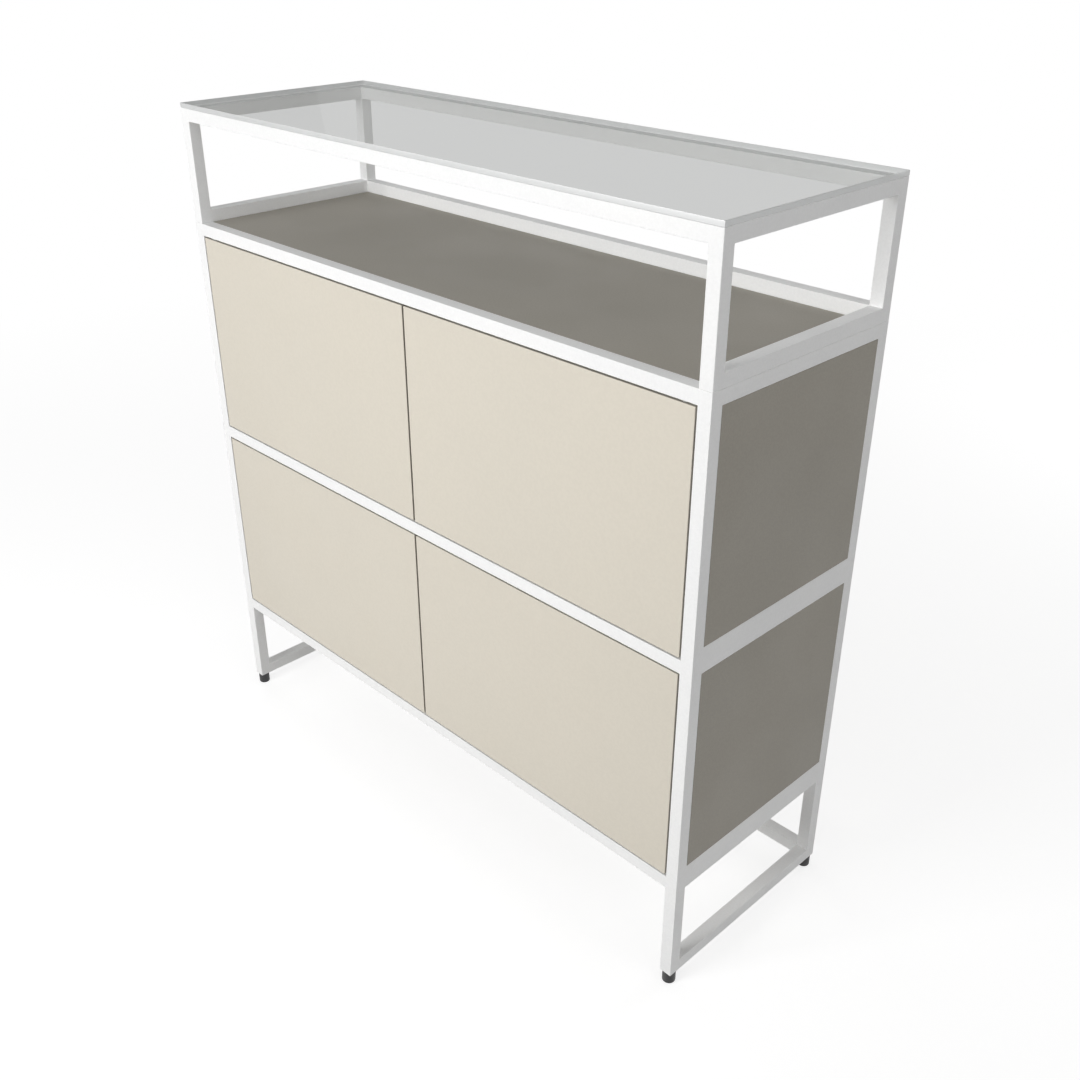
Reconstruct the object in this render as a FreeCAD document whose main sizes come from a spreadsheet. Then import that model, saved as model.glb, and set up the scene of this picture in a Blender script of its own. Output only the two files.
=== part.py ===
import FreeCAD, Part
import os
import re
import Sketcher

# Highboard: a welded frame of square steel tube with two rows of paired doors, an open display bay
# above them, infill boards all round and a glass top, on four levelling feet.
# The front faces -Y, +X is to the right, +Z is up, and the origin is on the floor under the middle.

# Driving sizes in millimetres
SIZES = {
    # Frame
    "frame_width": 1200,
    "frame_depth": 400,
    "base_height": 200,
    "lower_bay_height": 400,
    "upper_bay_height": 400,
    "display_height": 200,
    "tube_size": 22,
    "tube_wall": 1.5,
    "tube_round": 1.2,
    "sill_rise": 22,
    "tube_clearance": 0.1,
    "joiner_length": 60,
    "joiner_chamfer": 1.5,
    # Glass top
    "glass_thickness": 8,
    "glass_arris": 0.8,
    # Levelling feet
    "foot_height": 22,
    "foot_diameter": 22,
    "foot_round": 2,
    "stud_diameter": 8,
    "stud_length": 26,
    "stud_clearance": 0.08,
    "insert_length": 32,
    # Infill boards and their fixings
    "panel_thickness": 19,
    "panel_clearance": 0.3,
    "panel_round": 0.5,
    "lug_width": 30,
    "lug_reach": 16,
    "lug_thickness": 3,
    "lug_inset": 80,
    "screw_diameter": 4,
    "screw_length": 16,
    "screw_clearance": 0.2,
    "head_diameter": 8,
    "head_height": 2.5,
    # Doors and their pivots
    "door_thickness": 19,
    "door_gap": 3,
    "door_seam": 4,
    "door_round": 1,
    "pivot_inset": 22,
    "pin_diameter": 8,
    "pin_seat": 20,
    "pin_reach": 8,
    "pin_clearance": 0.06,
    "collar_diameter": 14,
    "collar_clearance": 0.2,
    "bush_diameter": 11,
    "bush_length": 9,
    "flange_diameter": 16,
    "flange_height": 1.2,
    # Push latches
    "latch_offset": 42,
    "latch_width": 16,
    "latch_height": 26,
    "latch_length": 60,
    "latch_drop": 17,
    "latch_wing": 16,
    "latch_reach": 5,
    "plunger_diameter": 8,
    "plunger_length": 45,
    "plunger_clearance": 0.1,
    "tip_diameter": 11,
    "tip_length": 3,
    "strike_diameter": 20,
    "strike_thickness": 1.5,
    "strike_clearance": 0.3,
}

# Lines and levels that several pieces share, in the words of the sheet
FRONT = "(-frame_depth / 2)"
BACK = "(frame_depth / 2)"
CLEAR_WIDTH = "(frame_width - 2 * tube_size)"
CLEAR_DEPTH = "(frame_depth - 2 * tube_size)"
FLOOR_RAIL = "foot_height"
BASE_TOP = "(foot_height + base_height)"
MIDDLE_TOP = "(foot_height + base_height + lower_bay_height)"
BODY_TOP = "(foot_height + base_height + lower_bay_height + upper_bay_height)"
FRAME_TOP = "(foot_height + base_height + lower_bay_height + upper_bay_height + display_height)"
TUBE_INSIDE = "(tube_size - 2 * tube_wall - 2 * tube_clearance)"
PANEL_WIDTH = f"({CLEAR_WIDTH} - 2 * panel_clearance)"
PANEL_DEPTH = f"({CLEAR_DEPTH} - 2 * panel_clearance)"
DOOR_WIDTH = f"(({CLEAR_WIDTH} - door_seam) / 2 - door_gap)"
DOOR_BACK = f"({FRONT} + door_thickness)"
PIVOT_FROM_POST = "(door_gap + pivot_inset)"
PIVOT_LINE = f"({FRONT} + tube_size / 2)"
COLLAR_HEIGHT = "(door_gap - flange_height - collar_clearance)"
TIP_FACE = f"({DOOR_BACK} + strike_thickness + strike_clearance)"

SIDES = {"left": "-1", "right": "1"}
ENDS = {"front": "-1", "back": "1"}
ROWS = {
    "upper": {"floor": MIDDLE_TOP, "height": "upper_bay_height"},
    "lower": {"floor": BASE_TOP, "height": "lower_bay_height"},
}

AXIS_X = FreeCAD.Vector(1, 0, 0)
AXIS_Y = FreeCAD.Vector(0, 1, 0)
AXIS_Z = FreeCAD.Vector(0, 0, 1)
UPRIGHT = FreeCAD.Rotation()
TURNED_OVER = FreeCAD.Rotation(AXIS_X, 180)

doc = FreeCAD.newDocument("highboard")
nodes = []


# The sheet and the expressions that read it

def write_sheet():
    """Put every driving size in a cell of its own, named by its alias."""
    sheet = doc.addObject("Spreadsheet::Sheet", "Sizes")
    for row, (alias, value) in enumerate(SIZES.items(), start=1):
        sheet.set(f"A{row}", alias)
        sheet.set(f"B{row}", str(value))
        sheet.setAlias(f"B{row}", alias)
    doc.recompute()


def sized(words):
    """Return an expression in which each size's name points at its cell."""
    return re.sub(r"[a-z_]+", lambda match: "Sizes." + match.group(), words)


def bind(thing, **paths):
    """Tie properties of an object to expressions; a double underscore stands for a dot."""
    for path, words in paths.items():
        thing.setExpression(path.replace("__", "."), sized(words))


def place(thing, x, y, z, rotation=UPRIGHT):
    """Set an object's place from three expressions and a fixed turn."""
    thing.Placement = FreeCAD.Placement(FreeCAD.Vector(), rotation)
    bind(thing, Placement__Base__x=x, Placement__Base__y=y, Placement__Base__z=z)


def node(thing, label):
    """Name a finished sub-part and put it on the list of those that are written."""
    thing.Label = label
    nodes.append(thing)
    return thing


# Sketches and features

def new_body(name):
    """Start an empty body."""
    return doc.addObject("PartDesign::Body", name)


def new_sketch(body, plane, x="0", y="0", lift="0"):
    """Start a sketch on one of the body's own planes, shifted in the plane and lifted off it."""
    sketch = body.newObject("Sketcher::SketchObject", body.Name + "_sketch")
    planes = {feature.Role: feature for feature in body.Origin.OriginFeatures}
    sketch.AttachmentSupport = [(planes[plane], "")]
    sketch.MapMode = "FlatFace"
    bind(sketch, AttachmentOffset__Base__x=x, AttachmentOffset__Base__y=y, AttachmentOffset__Base__z=lift)
    return sketch


def dimension(sketch, words, kind, *where):
    """Add one dimension to a sketch and tie it to an expression."""
    start_value = 1.0
    index = sketch.addConstraint(Sketcher.Constraint(kind, *where, start_value))
    sketch.setExpression(f"Constraints[{index}]", sized(words))


def add_rectangle(sketch, width, height, inset=None):
    """Draw a rectangle from the sketch's origin, or with its low corner inset from there both ways."""
    first = sketch.GeometryCount
    near = 0.0 if inset is None else 1.0
    corners = [(near, near), (near + 1, near), (near + 1, near + 1), (near, near + 1)]
    points = [FreeCAD.Vector(x, y, 0) for x, y in corners]
    for start, end in zip(points, points[1:] + points[:1]):
        sketch.addGeometry(Part.LineSegment(start, end))
    lines = [first, first + 1, first + 2, first + 3]
    for line, following in zip(lines, lines[1:] + lines[:1]):
        sketch.addConstraint(Sketcher.Constraint("Coincident", line, 2, following, 1))
    for level, upright in ((lines[0], lines[1]), (lines[2], lines[3])):
        sketch.addConstraint(Sketcher.Constraint("Horizontal", level))
        sketch.addConstraint(Sketcher.Constraint("Vertical", upright))
    if inset is None:
        sketch.addConstraint(Sketcher.Constraint("Coincident", lines[0], 1, -1, 1))
    else:
        dimension(sketch, inset, "DistanceX", -1, 1, lines[0], 1)
        dimension(sketch, inset, "DistanceY", -1, 1, lines[0], 1)
    dimension(sketch, width, "DistanceX", lines[0], 1, lines[0], 2)
    dimension(sketch, height, "DistanceY", lines[1], 1, lines[1], 2)


def add_circle(sketch, diameter):
    """Draw a circle round the sketch's origin."""
    circle = sketch.addGeometry(Part.Circle(FreeCAD.Vector(), AXIS_Z, 1))
    sketch.addConstraint(Sketcher.Constraint("Coincident", circle, 3, -1, 1))
    dimension(sketch, diameter, "Diameter", circle)


def pad(body, sketch, length, backwards=False):
    """Raise a sketch into a solid."""
    feature = body.newObject("PartDesign::Pad", body.Name + "_pad")
    feature.Profile = sketch
    feature.Reversed = backwards
    bind(feature, Length=length)
    return feature


def pocket(body, sketch, depth, backwards=False):
    """Cut a sketch into the solid, and make sure that it took something away."""
    doc.recompute()
    before = body.Shape.Volume
    feature = body.newObject("PartDesign::Pocket", body.Name + "_pocket")
    feature.Profile = sketch
    feature.Reversed = backwards
    bind(feature, Length=depth)
    doc.recompute()
    if body.Shape.Volume >= before:
        raise RuntimeError(f"{feature.Name} cuts nothing")
    return feature


def dress_edges(body, kind, size, choose):
    """Round or chamfer the chosen edges of a body; choose says yes or no to an edge."""
    doc.recompute()
    base = body.Tip
    names = [f"Edge{number}" for number, edge in enumerate(base.Shape.Edges, start=1) if choose(edge)]
    feature = body.newObject(f"PartDesign::{kind}", f"{body.Name}_{kind.lower()}")
    feature.Base = (base, names)
    if kind == "Fillet":
        bind(feature, Radius=size)
    else:
        bind(feature, Size=size)
    return feature


def any_edge(edge):
    """Choose every edge."""
    return True


def level_edge(edge):
    """Choose the straight edges that lie level."""
    return edge.BoundBox.ZLength < edge.Length / 2


def outer_edges_along(body, axis):
    """Return a choice of the edges along one axis that lie on the corners of the body's own box."""
    doc.recompute()
    box = body.Tip.Shape.BoundBox
    spans = {"X": (box.YMin, box.YMax, box.ZMin, box.ZMax),
             "Y": (box.XMin, box.XMax, box.ZMin, box.ZMax),
             "Z": (box.XMin, box.XMax, box.YMin, box.YMax)}
    low_a, high_a, low_b, high_b = spans[axis]
    near = 1e-6

    def choose(edge):
        middle = edge.CenterOfMass
        across = {"X": (middle.y, middle.z), "Y": (middle.x, middle.z), "Z": (middle.x, middle.y)}
        place_a, place_b = across[axis]
        on_a = min(abs(place_a - low_a), abs(place_a - high_a)) < near
        on_b = min(abs(place_b - low_b), abs(place_b - high_b)) < near
        return on_a and on_b

    return choose


# Pieces that are made the same way

TUBE_PLANES = {"X": "YZ_Plane", "Y": "XZ_Plane", "Z": "XY_Plane"}


def tube(name, axis, length, corner, height="tube_size"):
    """Make a hollow tube along an axis from its low corner; height is the section's upright side."""
    body = new_body(name)
    sketch = new_sketch(body, TUBE_PLANES[axis])
    add_rectangle(sketch, "tube_size", height)
    add_rectangle(sketch, "tube_size - 2 * tube_wall", f"{height} - 2 * tube_wall", inset="tube_wall")
    pad(body, sketch, length, backwards=(axis == "Y"))
    dress_edges(body, "Fillet", "tube_round", outer_edges_along(body, axis))
    place(body, *corner)
    return body


def board(name, size, corner, rounding):
    """Make a flat board with softened edges from its low corner."""
    width, depth, height = size
    body = new_body(name)
    sketch = new_sketch(body, "XY_Plane")
    add_rectangle(sketch, width, depth)
    pad(body, sketch, height)
    dress_edges(body, "Fillet", rounding, any_edge)
    place(body, *corner)
    return body


def group(name, members):
    """Join separate solids into one object without fusing them."""
    compound = doc.addObject("Part::Compound", name)
    compound.Links = members
    return compound


def copy_of(form, x, y, z, rotation=UPRIGHT):
    """Place one more copy of a form that repeats."""
    link = doc.addObject("App::Link", form.Name + "_copy")
    link.LinkedObject = form
    place(link, x, y, z, rotation)
    return link


def bored(name, whole, tools):
    """Cut the holes that other pieces fill out of a piece."""
    cut = doc.addObject("Part::Cut", name)
    cut.Base = whole
    cut.Tool = tools
    return cut


# Forms that repeat, each in a frame of its own

def lug_form():
    """A tab whose root is on a rail at y = 0; it reaches along +Y and its board lies on its +Z face."""
    body = new_body("lug_form")
    plate = new_sketch(body, "XY_Plane", x="-lug_width / 2")
    add_rectangle(plate, "lug_width", "lug_reach")
    pad(body, plate, "lug_thickness")
    hole = new_sketch(body, "XY_Plane", y="lug_reach / 2")
    add_circle(hole, "screw_diameter + 2 * screw_clearance")
    pocket(body, hole, "lug_thickness", backwards=True)
    return body


def screw_form():
    """A pan-head screw in the frame of the lug that it goes through, driven along +Z."""
    body = new_body("screw_form")
    shank = new_sketch(body, "XY_Plane", y="lug_reach / 2")
    add_circle(shank, "screw_diameter")
    pad(body, shank, "screw_length")
    head = new_sketch(body, "XY_Plane", y="lug_reach / 2")
    add_circle(head, "head_diameter")
    pad(body, head, "head_height", backwards=True)
    return body


def pin_form():
    """A pivot pin with a collar; the door's edge is at z = 0, the seat above and the journal below."""
    body = new_body("pin_form")
    shaft = new_sketch(body, "XY_Plane", lift="-door_gap - pin_reach")
    add_circle(shaft, "pin_diameter")
    pad(body, shaft, "door_gap + pin_reach + pin_seat")
    collar = new_sketch(body, "XY_Plane")
    add_circle(collar, "collar_diameter")
    pad(body, collar, COLLAR_HEIGHT, backwards=True)
    return body


def bush_form():
    """A flanged bush; the rail's face is at z = 0, with the flange above and the sleeve below."""
    body = new_body("bush_form")
    sleeve = new_sketch(body, "XY_Plane", lift="-bush_length")
    add_circle(sleeve, "bush_diameter")
    pad(body, sleeve, "bush_length + flange_height")
    flange = new_sketch(body, "XY_Plane")
    add_circle(flange, "flange_diameter")
    pad(body, flange, "flange_height")
    bore = new_sketch(body, "XY_Plane", lift="flange_height")
    add_circle(bore, "pin_diameter + 2 * pin_clearance")
    pocket(body, bore, "flange_height + bush_length")
    return body


def latch_form():
    """A latch housing; its top wings lie on the board above at z = 0 and its mouth is at y = 0."""
    body = new_body("latch_form")
    case = new_sketch(body, "XY_Plane", x="-latch_width / 2", lift="-latch_height")
    add_rectangle(case, "latch_width", "latch_length")
    pad(body, case, "latch_height")
    wings = new_sketch(body, "XY_Plane", x="-latch_width / 2 - latch_wing", lift="-lug_thickness")
    add_rectangle(wings, "latch_width + 2 * latch_wing", "latch_length")
    pad(body, wings, "lug_thickness")
    bore = new_sketch(body, "XZ_Plane", y="-latch_drop")
    add_circle(bore, "plunger_diameter + 2 * plunger_clearance")
    pocket(body, bore, "latch_length")
    for side in SIDES.values():
        wing_middle = f"{side} * (latch_width + latch_wing) / 2"
        hole = new_sketch(body, "XY_Plane", x=wing_middle, y="latch_length / 2")
        add_circle(hole, "screw_diameter + 2 * screw_clearance")
        pocket(body, hole, "lug_thickness")
    return body


def insert_form():
    """A threaded insert that fills the end of a post from z = 0 upwards."""
    body = new_body("insert_form")
    block = new_sketch(body, "XY_Plane", x=f"-{TUBE_INSIDE} / 2", y=f"-{TUBE_INSIDE} / 2")
    add_rectangle(block, TUBE_INSIDE, TUBE_INSIDE)
    pad(body, block, "insert_length")
    bore = new_sketch(body, "XY_Plane")
    add_circle(bore, "stud_diameter + 2 * stud_clearance")
    pocket(body, bore, "insert_length", backwards=True)
    return body


def joiner_form():
    """A plug that lines up two posts, half in each, with the joint at z = 0."""
    body = new_body("joiner_form")
    block = new_sketch(body, "XY_Plane", f"-{TUBE_INSIDE} / 2", f"-{TUBE_INSIDE} / 2", "-joiner_length / 2")
    add_rectangle(block, TUBE_INSIDE, TUBE_INSIDE)
    pad(body, block, "joiner_length")
    dress_edges(body, "Chamfer", "joiner_chamfer", level_edge)
    return body


# The frame

def post_corner(side, end):
    """Return the low corner of a post in plan."""
    x = f"{side} * (frame_width - tube_size) / 2 - tube_size / 2"
    y = f"{end} * (frame_depth - tube_size) / 2 - tube_size / 2"
    return x, y


def build_lower_frame():
    """The posts and rails that carry the two rows of doors."""
    for side_name, side in SIDES.items():
        for end_name, end in ENDS.items():
            label = f"{end_name}_{side_name}_post"
            corner = (*post_corner(side, end), FLOOR_RAIL)
            node(tube(label, "Z", f"{BODY_TOP} - foot_height", corner), label)
        x = post_corner(side, "1")[0]
        y = f"{FRONT} + tube_size"
        band = "tube_size + sill_rise"
        rails = [
            tube(f"{side_name}_floor_rail", "Y", CLEAR_DEPTH, (x, y, FLOOR_RAIL)),
            tube(f"{side_name}_base_rail", "Y", CLEAR_DEPTH, (x, y, f"{BASE_TOP} - tube_size"), band),
            tube(f"{side_name}_middle_rail", "Y", CLEAR_DEPTH, (x, y, f"{MIDDLE_TOP} - tube_size"), band),
            tube(f"{side_name}_top_rail", "Y", CLEAR_DEPTH, (x, y, f"{BODY_TOP} - tube_size")),
        ]
        node(group(f"{side_name}_rail_group", rails), f"{side_name}_side_rails")
    build_front_rails()
    build_back_rails()


def build_front_rails():
    """The three rails between the doors, with holes for the pivot bushes."""
    x = f"-{CLEAR_WIDTH} / 2"
    holes_below = {"lift": "0", "backwards": True}
    holes_above = {"lift": "tube_size", "backwards": False}
    rails = {
        "front_bottom_rail": (BASE_TOP, [holes_above]),
        "front_middle_rail": (MIDDLE_TOP, [holes_below, holes_above]),
        "front_top_rail": (BODY_TOP, [holes_below]),
    }
    for label, (level, hole_rows) in rails.items():
        rail = tube(label, "X", CLEAR_WIDTH, (x, FRONT, f"{level} - tube_size"))
        for row in hole_rows:
            for along in (PIVOT_FROM_POST, f"{CLEAR_WIDTH} - {PIVOT_FROM_POST}"):
                hole = new_sketch(rail, "XY_Plane", x=along, y="tube_size / 2", lift=row["lift"])
                add_circle(hole, "bush_diameter")
                pocket(rail, hole, "tube_size / 2", backwards=row["backwards"])
        node(rail, label)


def build_back_rails():
    """The four rails at the back; the two that a bay stands on rise above it as at the sides."""
    x = f"-{CLEAR_WIDTH} / 2"
    y = f"{BACK} - tube_size"
    band = "tube_size + sill_rise"
    rails = {
        "back_floor_rail": (FLOOR_RAIL, "tube_size"),
        "back_bottom_rail": (f"{BASE_TOP} - tube_size", band),
        "back_middle_rail": (f"{MIDDLE_TOP} - tube_size", band),
        "back_top_rail": (f"{BODY_TOP} - tube_size", "tube_size"),
    }
    for label, (level, height) in rails.items():
        node(tube(label, "X", CLEAR_WIDTH, (x, y, level), height), label)


def build_display_frame():
    """The open upper frame that stands on the lower one and carries the glass."""
    high = f"{FRAME_TOP} - tube_size"
    for side_name, side in SIDES.items():
        for end_name, end in ENDS.items():
            label = f"display_{end_name}_{side_name}_post"
            node(tube(label, "Z", "display_height", (*post_corner(side, end), BODY_TOP)), label)
        x = post_corner(side, "1")[0]
        y = f"{FRONT} + tube_size"
        rails = [
            tube(f"display_{side_name}_sill", "Y", CLEAR_DEPTH, (x, y, BODY_TOP), "sill_rise"),
            tube(f"display_{side_name}_top", "Y", CLEAR_DEPTH, (x, y, high)),
        ]
        node(group(f"display_{side_name}_group", rails), f"display_{side_name}_rails")
    x = f"-{CLEAR_WIDTH} / 2"
    y = f"{BACK} - tube_size"
    rails = {
        "display_front_rail": (FRONT, high, "tube_size"),
        "display_back_rail": (y, high, "tube_size"),
        "display_back_sill": (y, BODY_TOP, "sill_rise"),
    }
    for label, (depth, level, height) in rails.items():
        node(tube(label, "X", CLEAR_WIDTH, (x, depth, level), height), label)


def build_post_fittings():
    """The inserts in the feet of the posts, the plugs between the frames and the levelling feet."""
    insert = insert_form()
    joiner = joiner_form()
    inserts = []
    joiners = []
    for side_name, side in SIDES.items():
        for end_name, end in ENDS.items():
            x = f"{side} * (frame_width - tube_size) / 2"
            y = f"{end} * (frame_depth - tube_size) / 2"
            inserts.append(copy_of(insert, x, y, "foot_height"))
            joiners.append(copy_of(joiner, x, y, BODY_TOP))
            build_foot(f"{end_name}_{side_name}_foot", x, y)
    node(group("insert_group", inserts), "leg_inserts")
    node(group("joiner_group", joiners), "post_joiners")


def build_foot(label, x, y):
    """A round foot that fills the space under a post, with the stud that screws into its insert."""
    body = new_body(label)
    disc = new_sketch(body, "XY_Plane")
    add_circle(disc, "foot_diameter")
    pad(body, disc, "foot_height")
    dress_edges(body, "Fillet", "foot_round", lambda edge: edge.Closed and edge.CenterOfMass.z == 0)
    stud = new_sketch(body, "XY_Plane", lift="foot_height")
    add_circle(stud, "stud_diameter")
    pad(body, stud, "stud_length")
    place(body, x, y, "0")
    node(body, label)


def build_glass():
    """The plate on the frame, flush with the tubes' outer faces, its edges broken all round."""
    body = new_body("glass_top")
    outline = new_sketch(body, "XY_Plane")
    add_rectangle(outline, "frame_width", "frame_depth")
    pad(body, outline, "glass_thickness")
    dress_edges(body, "Chamfer", "glass_arris", level_edge)
    place(body, "-frame_width / 2", FRONT, FRAME_TOP)
    node(body, "glass_top")


# Infill boards, the lugs that carry them and the screws that hold them

def facing(outwards, reach):
    """Return the turn that points a lug's board side outwards and its reach off its rail."""
    return FreeCAD.Rotation(reach.cross(outwards), reach, outwards, "ZYX")


class Fixings:
    """The lugs and screws of the whole object, kept together as they are placed."""

    def __init__(self):
        """Make the two forms that repeat."""
        self.lug = lug_form()
        self.screw = screw_form()
        self.lugs = []
        self.screws = []

    def lug_and_screw(self, x, y, z, turn):
        """Put a lug with its screw at a point on a rail and return the screw."""
        self.lugs.append(copy_of(self.lug, x, y, z, turn))
        return self.screw_alone(x, y, z, turn)

    def screw_alone(self, x, y, z, turn):
        """Put one screw where a lug's frame would be and return it."""
        screw = copy_of(self.screw, x, y, z, turn)
        self.screws.append(screw)
        return screw

    def finish(self):
        """Gather all lugs in one sub-part and all screws in another."""
        node(group("lug_group", self.lugs), "panel_lugs")
        node(group("screw_group", self.screws), "panel_screws")


def build_level_panels(fixings, latch_screws):
    """The three boards that lie level with the tops of their rails."""
    panels = {"top_panel": BODY_TOP, "middle_panel": MIDDLE_TOP, "bottom_panel": BASE_TOP}
    row = {"top_panel": "upper", "middle_panel": "lower"}
    for label, level in panels.items():
        underside = f"{level} - panel_thickness"
        screws = list(latch_screws.get(row.get(label), []))
        for end in ENDS.values():
            turn = facing(AXIS_Z, AXIS_Y * -float(end))
            for step in ("-1", "0", "1"):
                x = f"{step} * ({CLEAR_WIDTH} / 2 - lug_inset)"
                y = f"{end} * {CLEAR_DEPTH} / 2"
                screws.append(fixings.lug_and_screw(x, y, f"{underside} - lug_thickness", turn))
        size = (PANEL_WIDTH, PANEL_DEPTH, "panel_thickness")
        corner = (f"-{PANEL_WIDTH} / 2", f"-{PANEL_DEPTH} / 2", underside)
        whole = board(f"{label}_board", size, corner, "panel_round")
        node(bored(f"{label}_bored", whole, group(f"{label}_screws", screws)), label)


def build_upright_panels(fixings):
    """The boards in the sides and the back, flush with the outside of the frame."""
    for row_name, row in ROWS.items():
        low = f"({row['floor']} + sill_rise)"
        high = f"({row['floor']} + {row['height']} - tube_size)"
        bottom = f"{low} + panel_clearance"
        height = f"{high} - {low} - 2 * panel_clearance"
        rails = ((low, AXIS_Z), (high, -AXIS_Z))
        for side_name, side in SIDES.items():
            label = f"{side_name}_{row_name}_panel"
            face = f"{side} * (frame_width / 2 - panel_thickness - lug_thickness)"
            screws = []
            for level, reach in rails:
                turn = facing(AXIS_X * float(side), reach)
                for end in ENDS.values():
                    y = f"{end} * ({CLEAR_DEPTH} / 2 - lug_inset)"
                    screws.append(fixings.lug_and_screw(face, y, level, turn))
            size = ("panel_thickness", PANEL_DEPTH, height)
            x = f"{side} * (frame_width - panel_thickness) / 2 - panel_thickness / 2"
            corner = (x, f"-{PANEL_DEPTH} / 2", bottom)
            whole = board(f"{label}_board", size, corner, "panel_round")
            node(bored(f"{label}_bored", whole, group(f"{label}_screws", screws)), label)
        label = f"back_{row_name}_panel"
        screws = []
        for level, reach in rails:
            turn = facing(AXIS_Y, reach)
            for step in ("-1", "0", "1"):
                x = f"{step} * ({CLEAR_WIDTH} / 2 - lug_inset)"
                y = f"{BACK} - panel_thickness - lug_thickness"
                screws.append(fixings.lug_and_screw(x, y, level, turn))
        size = (PANEL_WIDTH, "panel_thickness", height)
        corner = (f"-{PANEL_WIDTH} / 2", f"{BACK} - panel_thickness", bottom)
        whole = board(f"{label}_board", size, corner, "panel_round")
        node(bored(f"{label}_bored", whole, group(f"{label}_screws", screws)), label)


# Doors, their pivots and their latches

def build_doors():
    """Four doors, each turning on a pin at its top and bottom in bushes in the front rails."""
    pin = pin_form()
    bush = bush_form()
    bushes = []
    for row_name, row in ROWS.items():
        floor = row["floor"]
        ceiling = f"({floor} + {row['height']} - tube_size)"
        for side_name, side in SIDES.items():
            label = f"{row_name}_{side_name}_door"
            pivot_x = f"{side} * ({CLEAR_WIDTH} / 2 - {PIVOT_FROM_POST})"
            pins = group(f"{label}_pin_group", [
                copy_of(pin, pivot_x, PIVOT_LINE, f"{floor} + door_gap"),
                copy_of(pin, pivot_x, PIVOT_LINE, f"{ceiling} - door_gap", TURNED_OVER),
            ])
            bushes.append(copy_of(bush, pivot_x, PIVOT_LINE, floor))
            bushes.append(copy_of(bush, pivot_x, PIVOT_LINE, ceiling, TURNED_OVER))
            size = (DOOR_WIDTH, "door_thickness", f"{ceiling} - {floor} - 2 * door_gap")
            x = f"{side} * ({DOOR_WIDTH} + door_seam) / 2 - {DOOR_WIDTH} / 2"
            whole = board(f"{label}_board", size, (x, FRONT, f"{floor} + door_gap"), "door_round")
            node(bored(f"{label}_bored", whole, pins), label)
            node(pins, f"{label}_pins")
    node(group("bush_group", bushes), "pivot_bushes")


def along_depth(label, rounds):
    """Stack round steps along +Y from the origin; each has a diameter, a start and a length."""
    body = new_body(label)
    for diameter, start, length in rounds:
        step = new_sketch(body, "XZ_Plane", lift=f"-({start})")
        add_circle(step, diameter)
        pad(body, step, length, backwards=True)
    return body


def build_latches(fixings):
    """A push latch behind each door's free edge; returns the screws that hold each row's latches."""
    form = latch_form()
    cases = []
    screws = {name: [] for name in ROWS}
    for row_name, row in ROWS.items():
        underside = f"({row['floor']} + {row['height']} - panel_thickness)"
        axis_z = f"{underside} - latch_drop"
        mouth = f"({TIP_FACE} + latch_reach)"
        for side_name, side in SIDES.items():
            x = f"{side} * latch_offset"
            cases.append(copy_of(form, x, mouth, underside))
            for wing in SIDES.values():
                wing_x = f"{x} + {wing} * (latch_width + latch_wing) / 2"
                wing_y = f"{mouth} + latch_length / 2 - lug_reach / 2"
                screw = fixings.screw_alone(wing_x, wing_y, f"{underside} - lug_thickness", UPRIGHT)
                screws[row_name].append(screw)
            plunger = along_depth(f"{row_name}_{side_name}_plunger", [
                ("tip_diameter", "0", "tip_length"),
                ("plunger_diameter", "tip_length", "plunger_length"),
            ])
            place(plunger, x, TIP_FACE, axis_z)
            node(plunger, f"{row_name}_{side_name}_plunger")
            strike = along_depth(f"{row_name}_{side_name}_strike", [
                ("strike_diameter", "0", "strike_thickness"),
            ])
            place(strike, x, DOOR_BACK, axis_z)
            node(strike, f"{row_name}_{side_name}_strike")
    node(group("latch_group", cases), "latch_bodies")
    return screws


# Checking and writing

def check_document():
    """Stop if anything in the document failed or any sub-part has no sound shape."""
    for thing in doc.Objects:
        if "Invalid" in thing.State or "Error" in thing.State:
            raise RuntimeError(f"{thing.Name} failed: {thing.State}")
    for thing in nodes:
        if thing.Shape.isNull() or not thing.Shape.isValid() or not thing.Shape.Solids:
            raise RuntimeError(f"{thing.Label} has no sound shape")


def write_parts():
    """Write each sub-part to a file of its own name."""
    os.makedirs("parts", exist_ok=True)
    for thing in nodes:
        thing.Shape.exportStep(f"parts/{thing.Label}.step")


write_sheet()
build_lower_frame()
build_display_frame()
build_post_fittings()
build_glass()
all_fixings = Fixings()
build_level_panels(all_fixings, build_latches(all_fixings))
build_upright_panels(all_fixings)
build_doors()
all_fixings.finish()
doc.recompute()
check_document()
write_parts()
print(f"{len(nodes)} sub-parts written")
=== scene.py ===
"""Looks of the highboard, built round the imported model.

A white frame of square tube carries four lacquered doors, infill boards and a glass top, on levelling feet.
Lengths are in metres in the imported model's own frame: the front faces -Y and the floor is at Z = 0.
"""

import logging
import math
from collections.abc import Iterable, Sequence
from dataclasses import dataclass, fields
from enum import Enum
from types import SimpleNamespace
from typing import Any, ClassVar

import bmesh
import bpy
import numpy as np
from mathutils import Matrix, Vector


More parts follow.
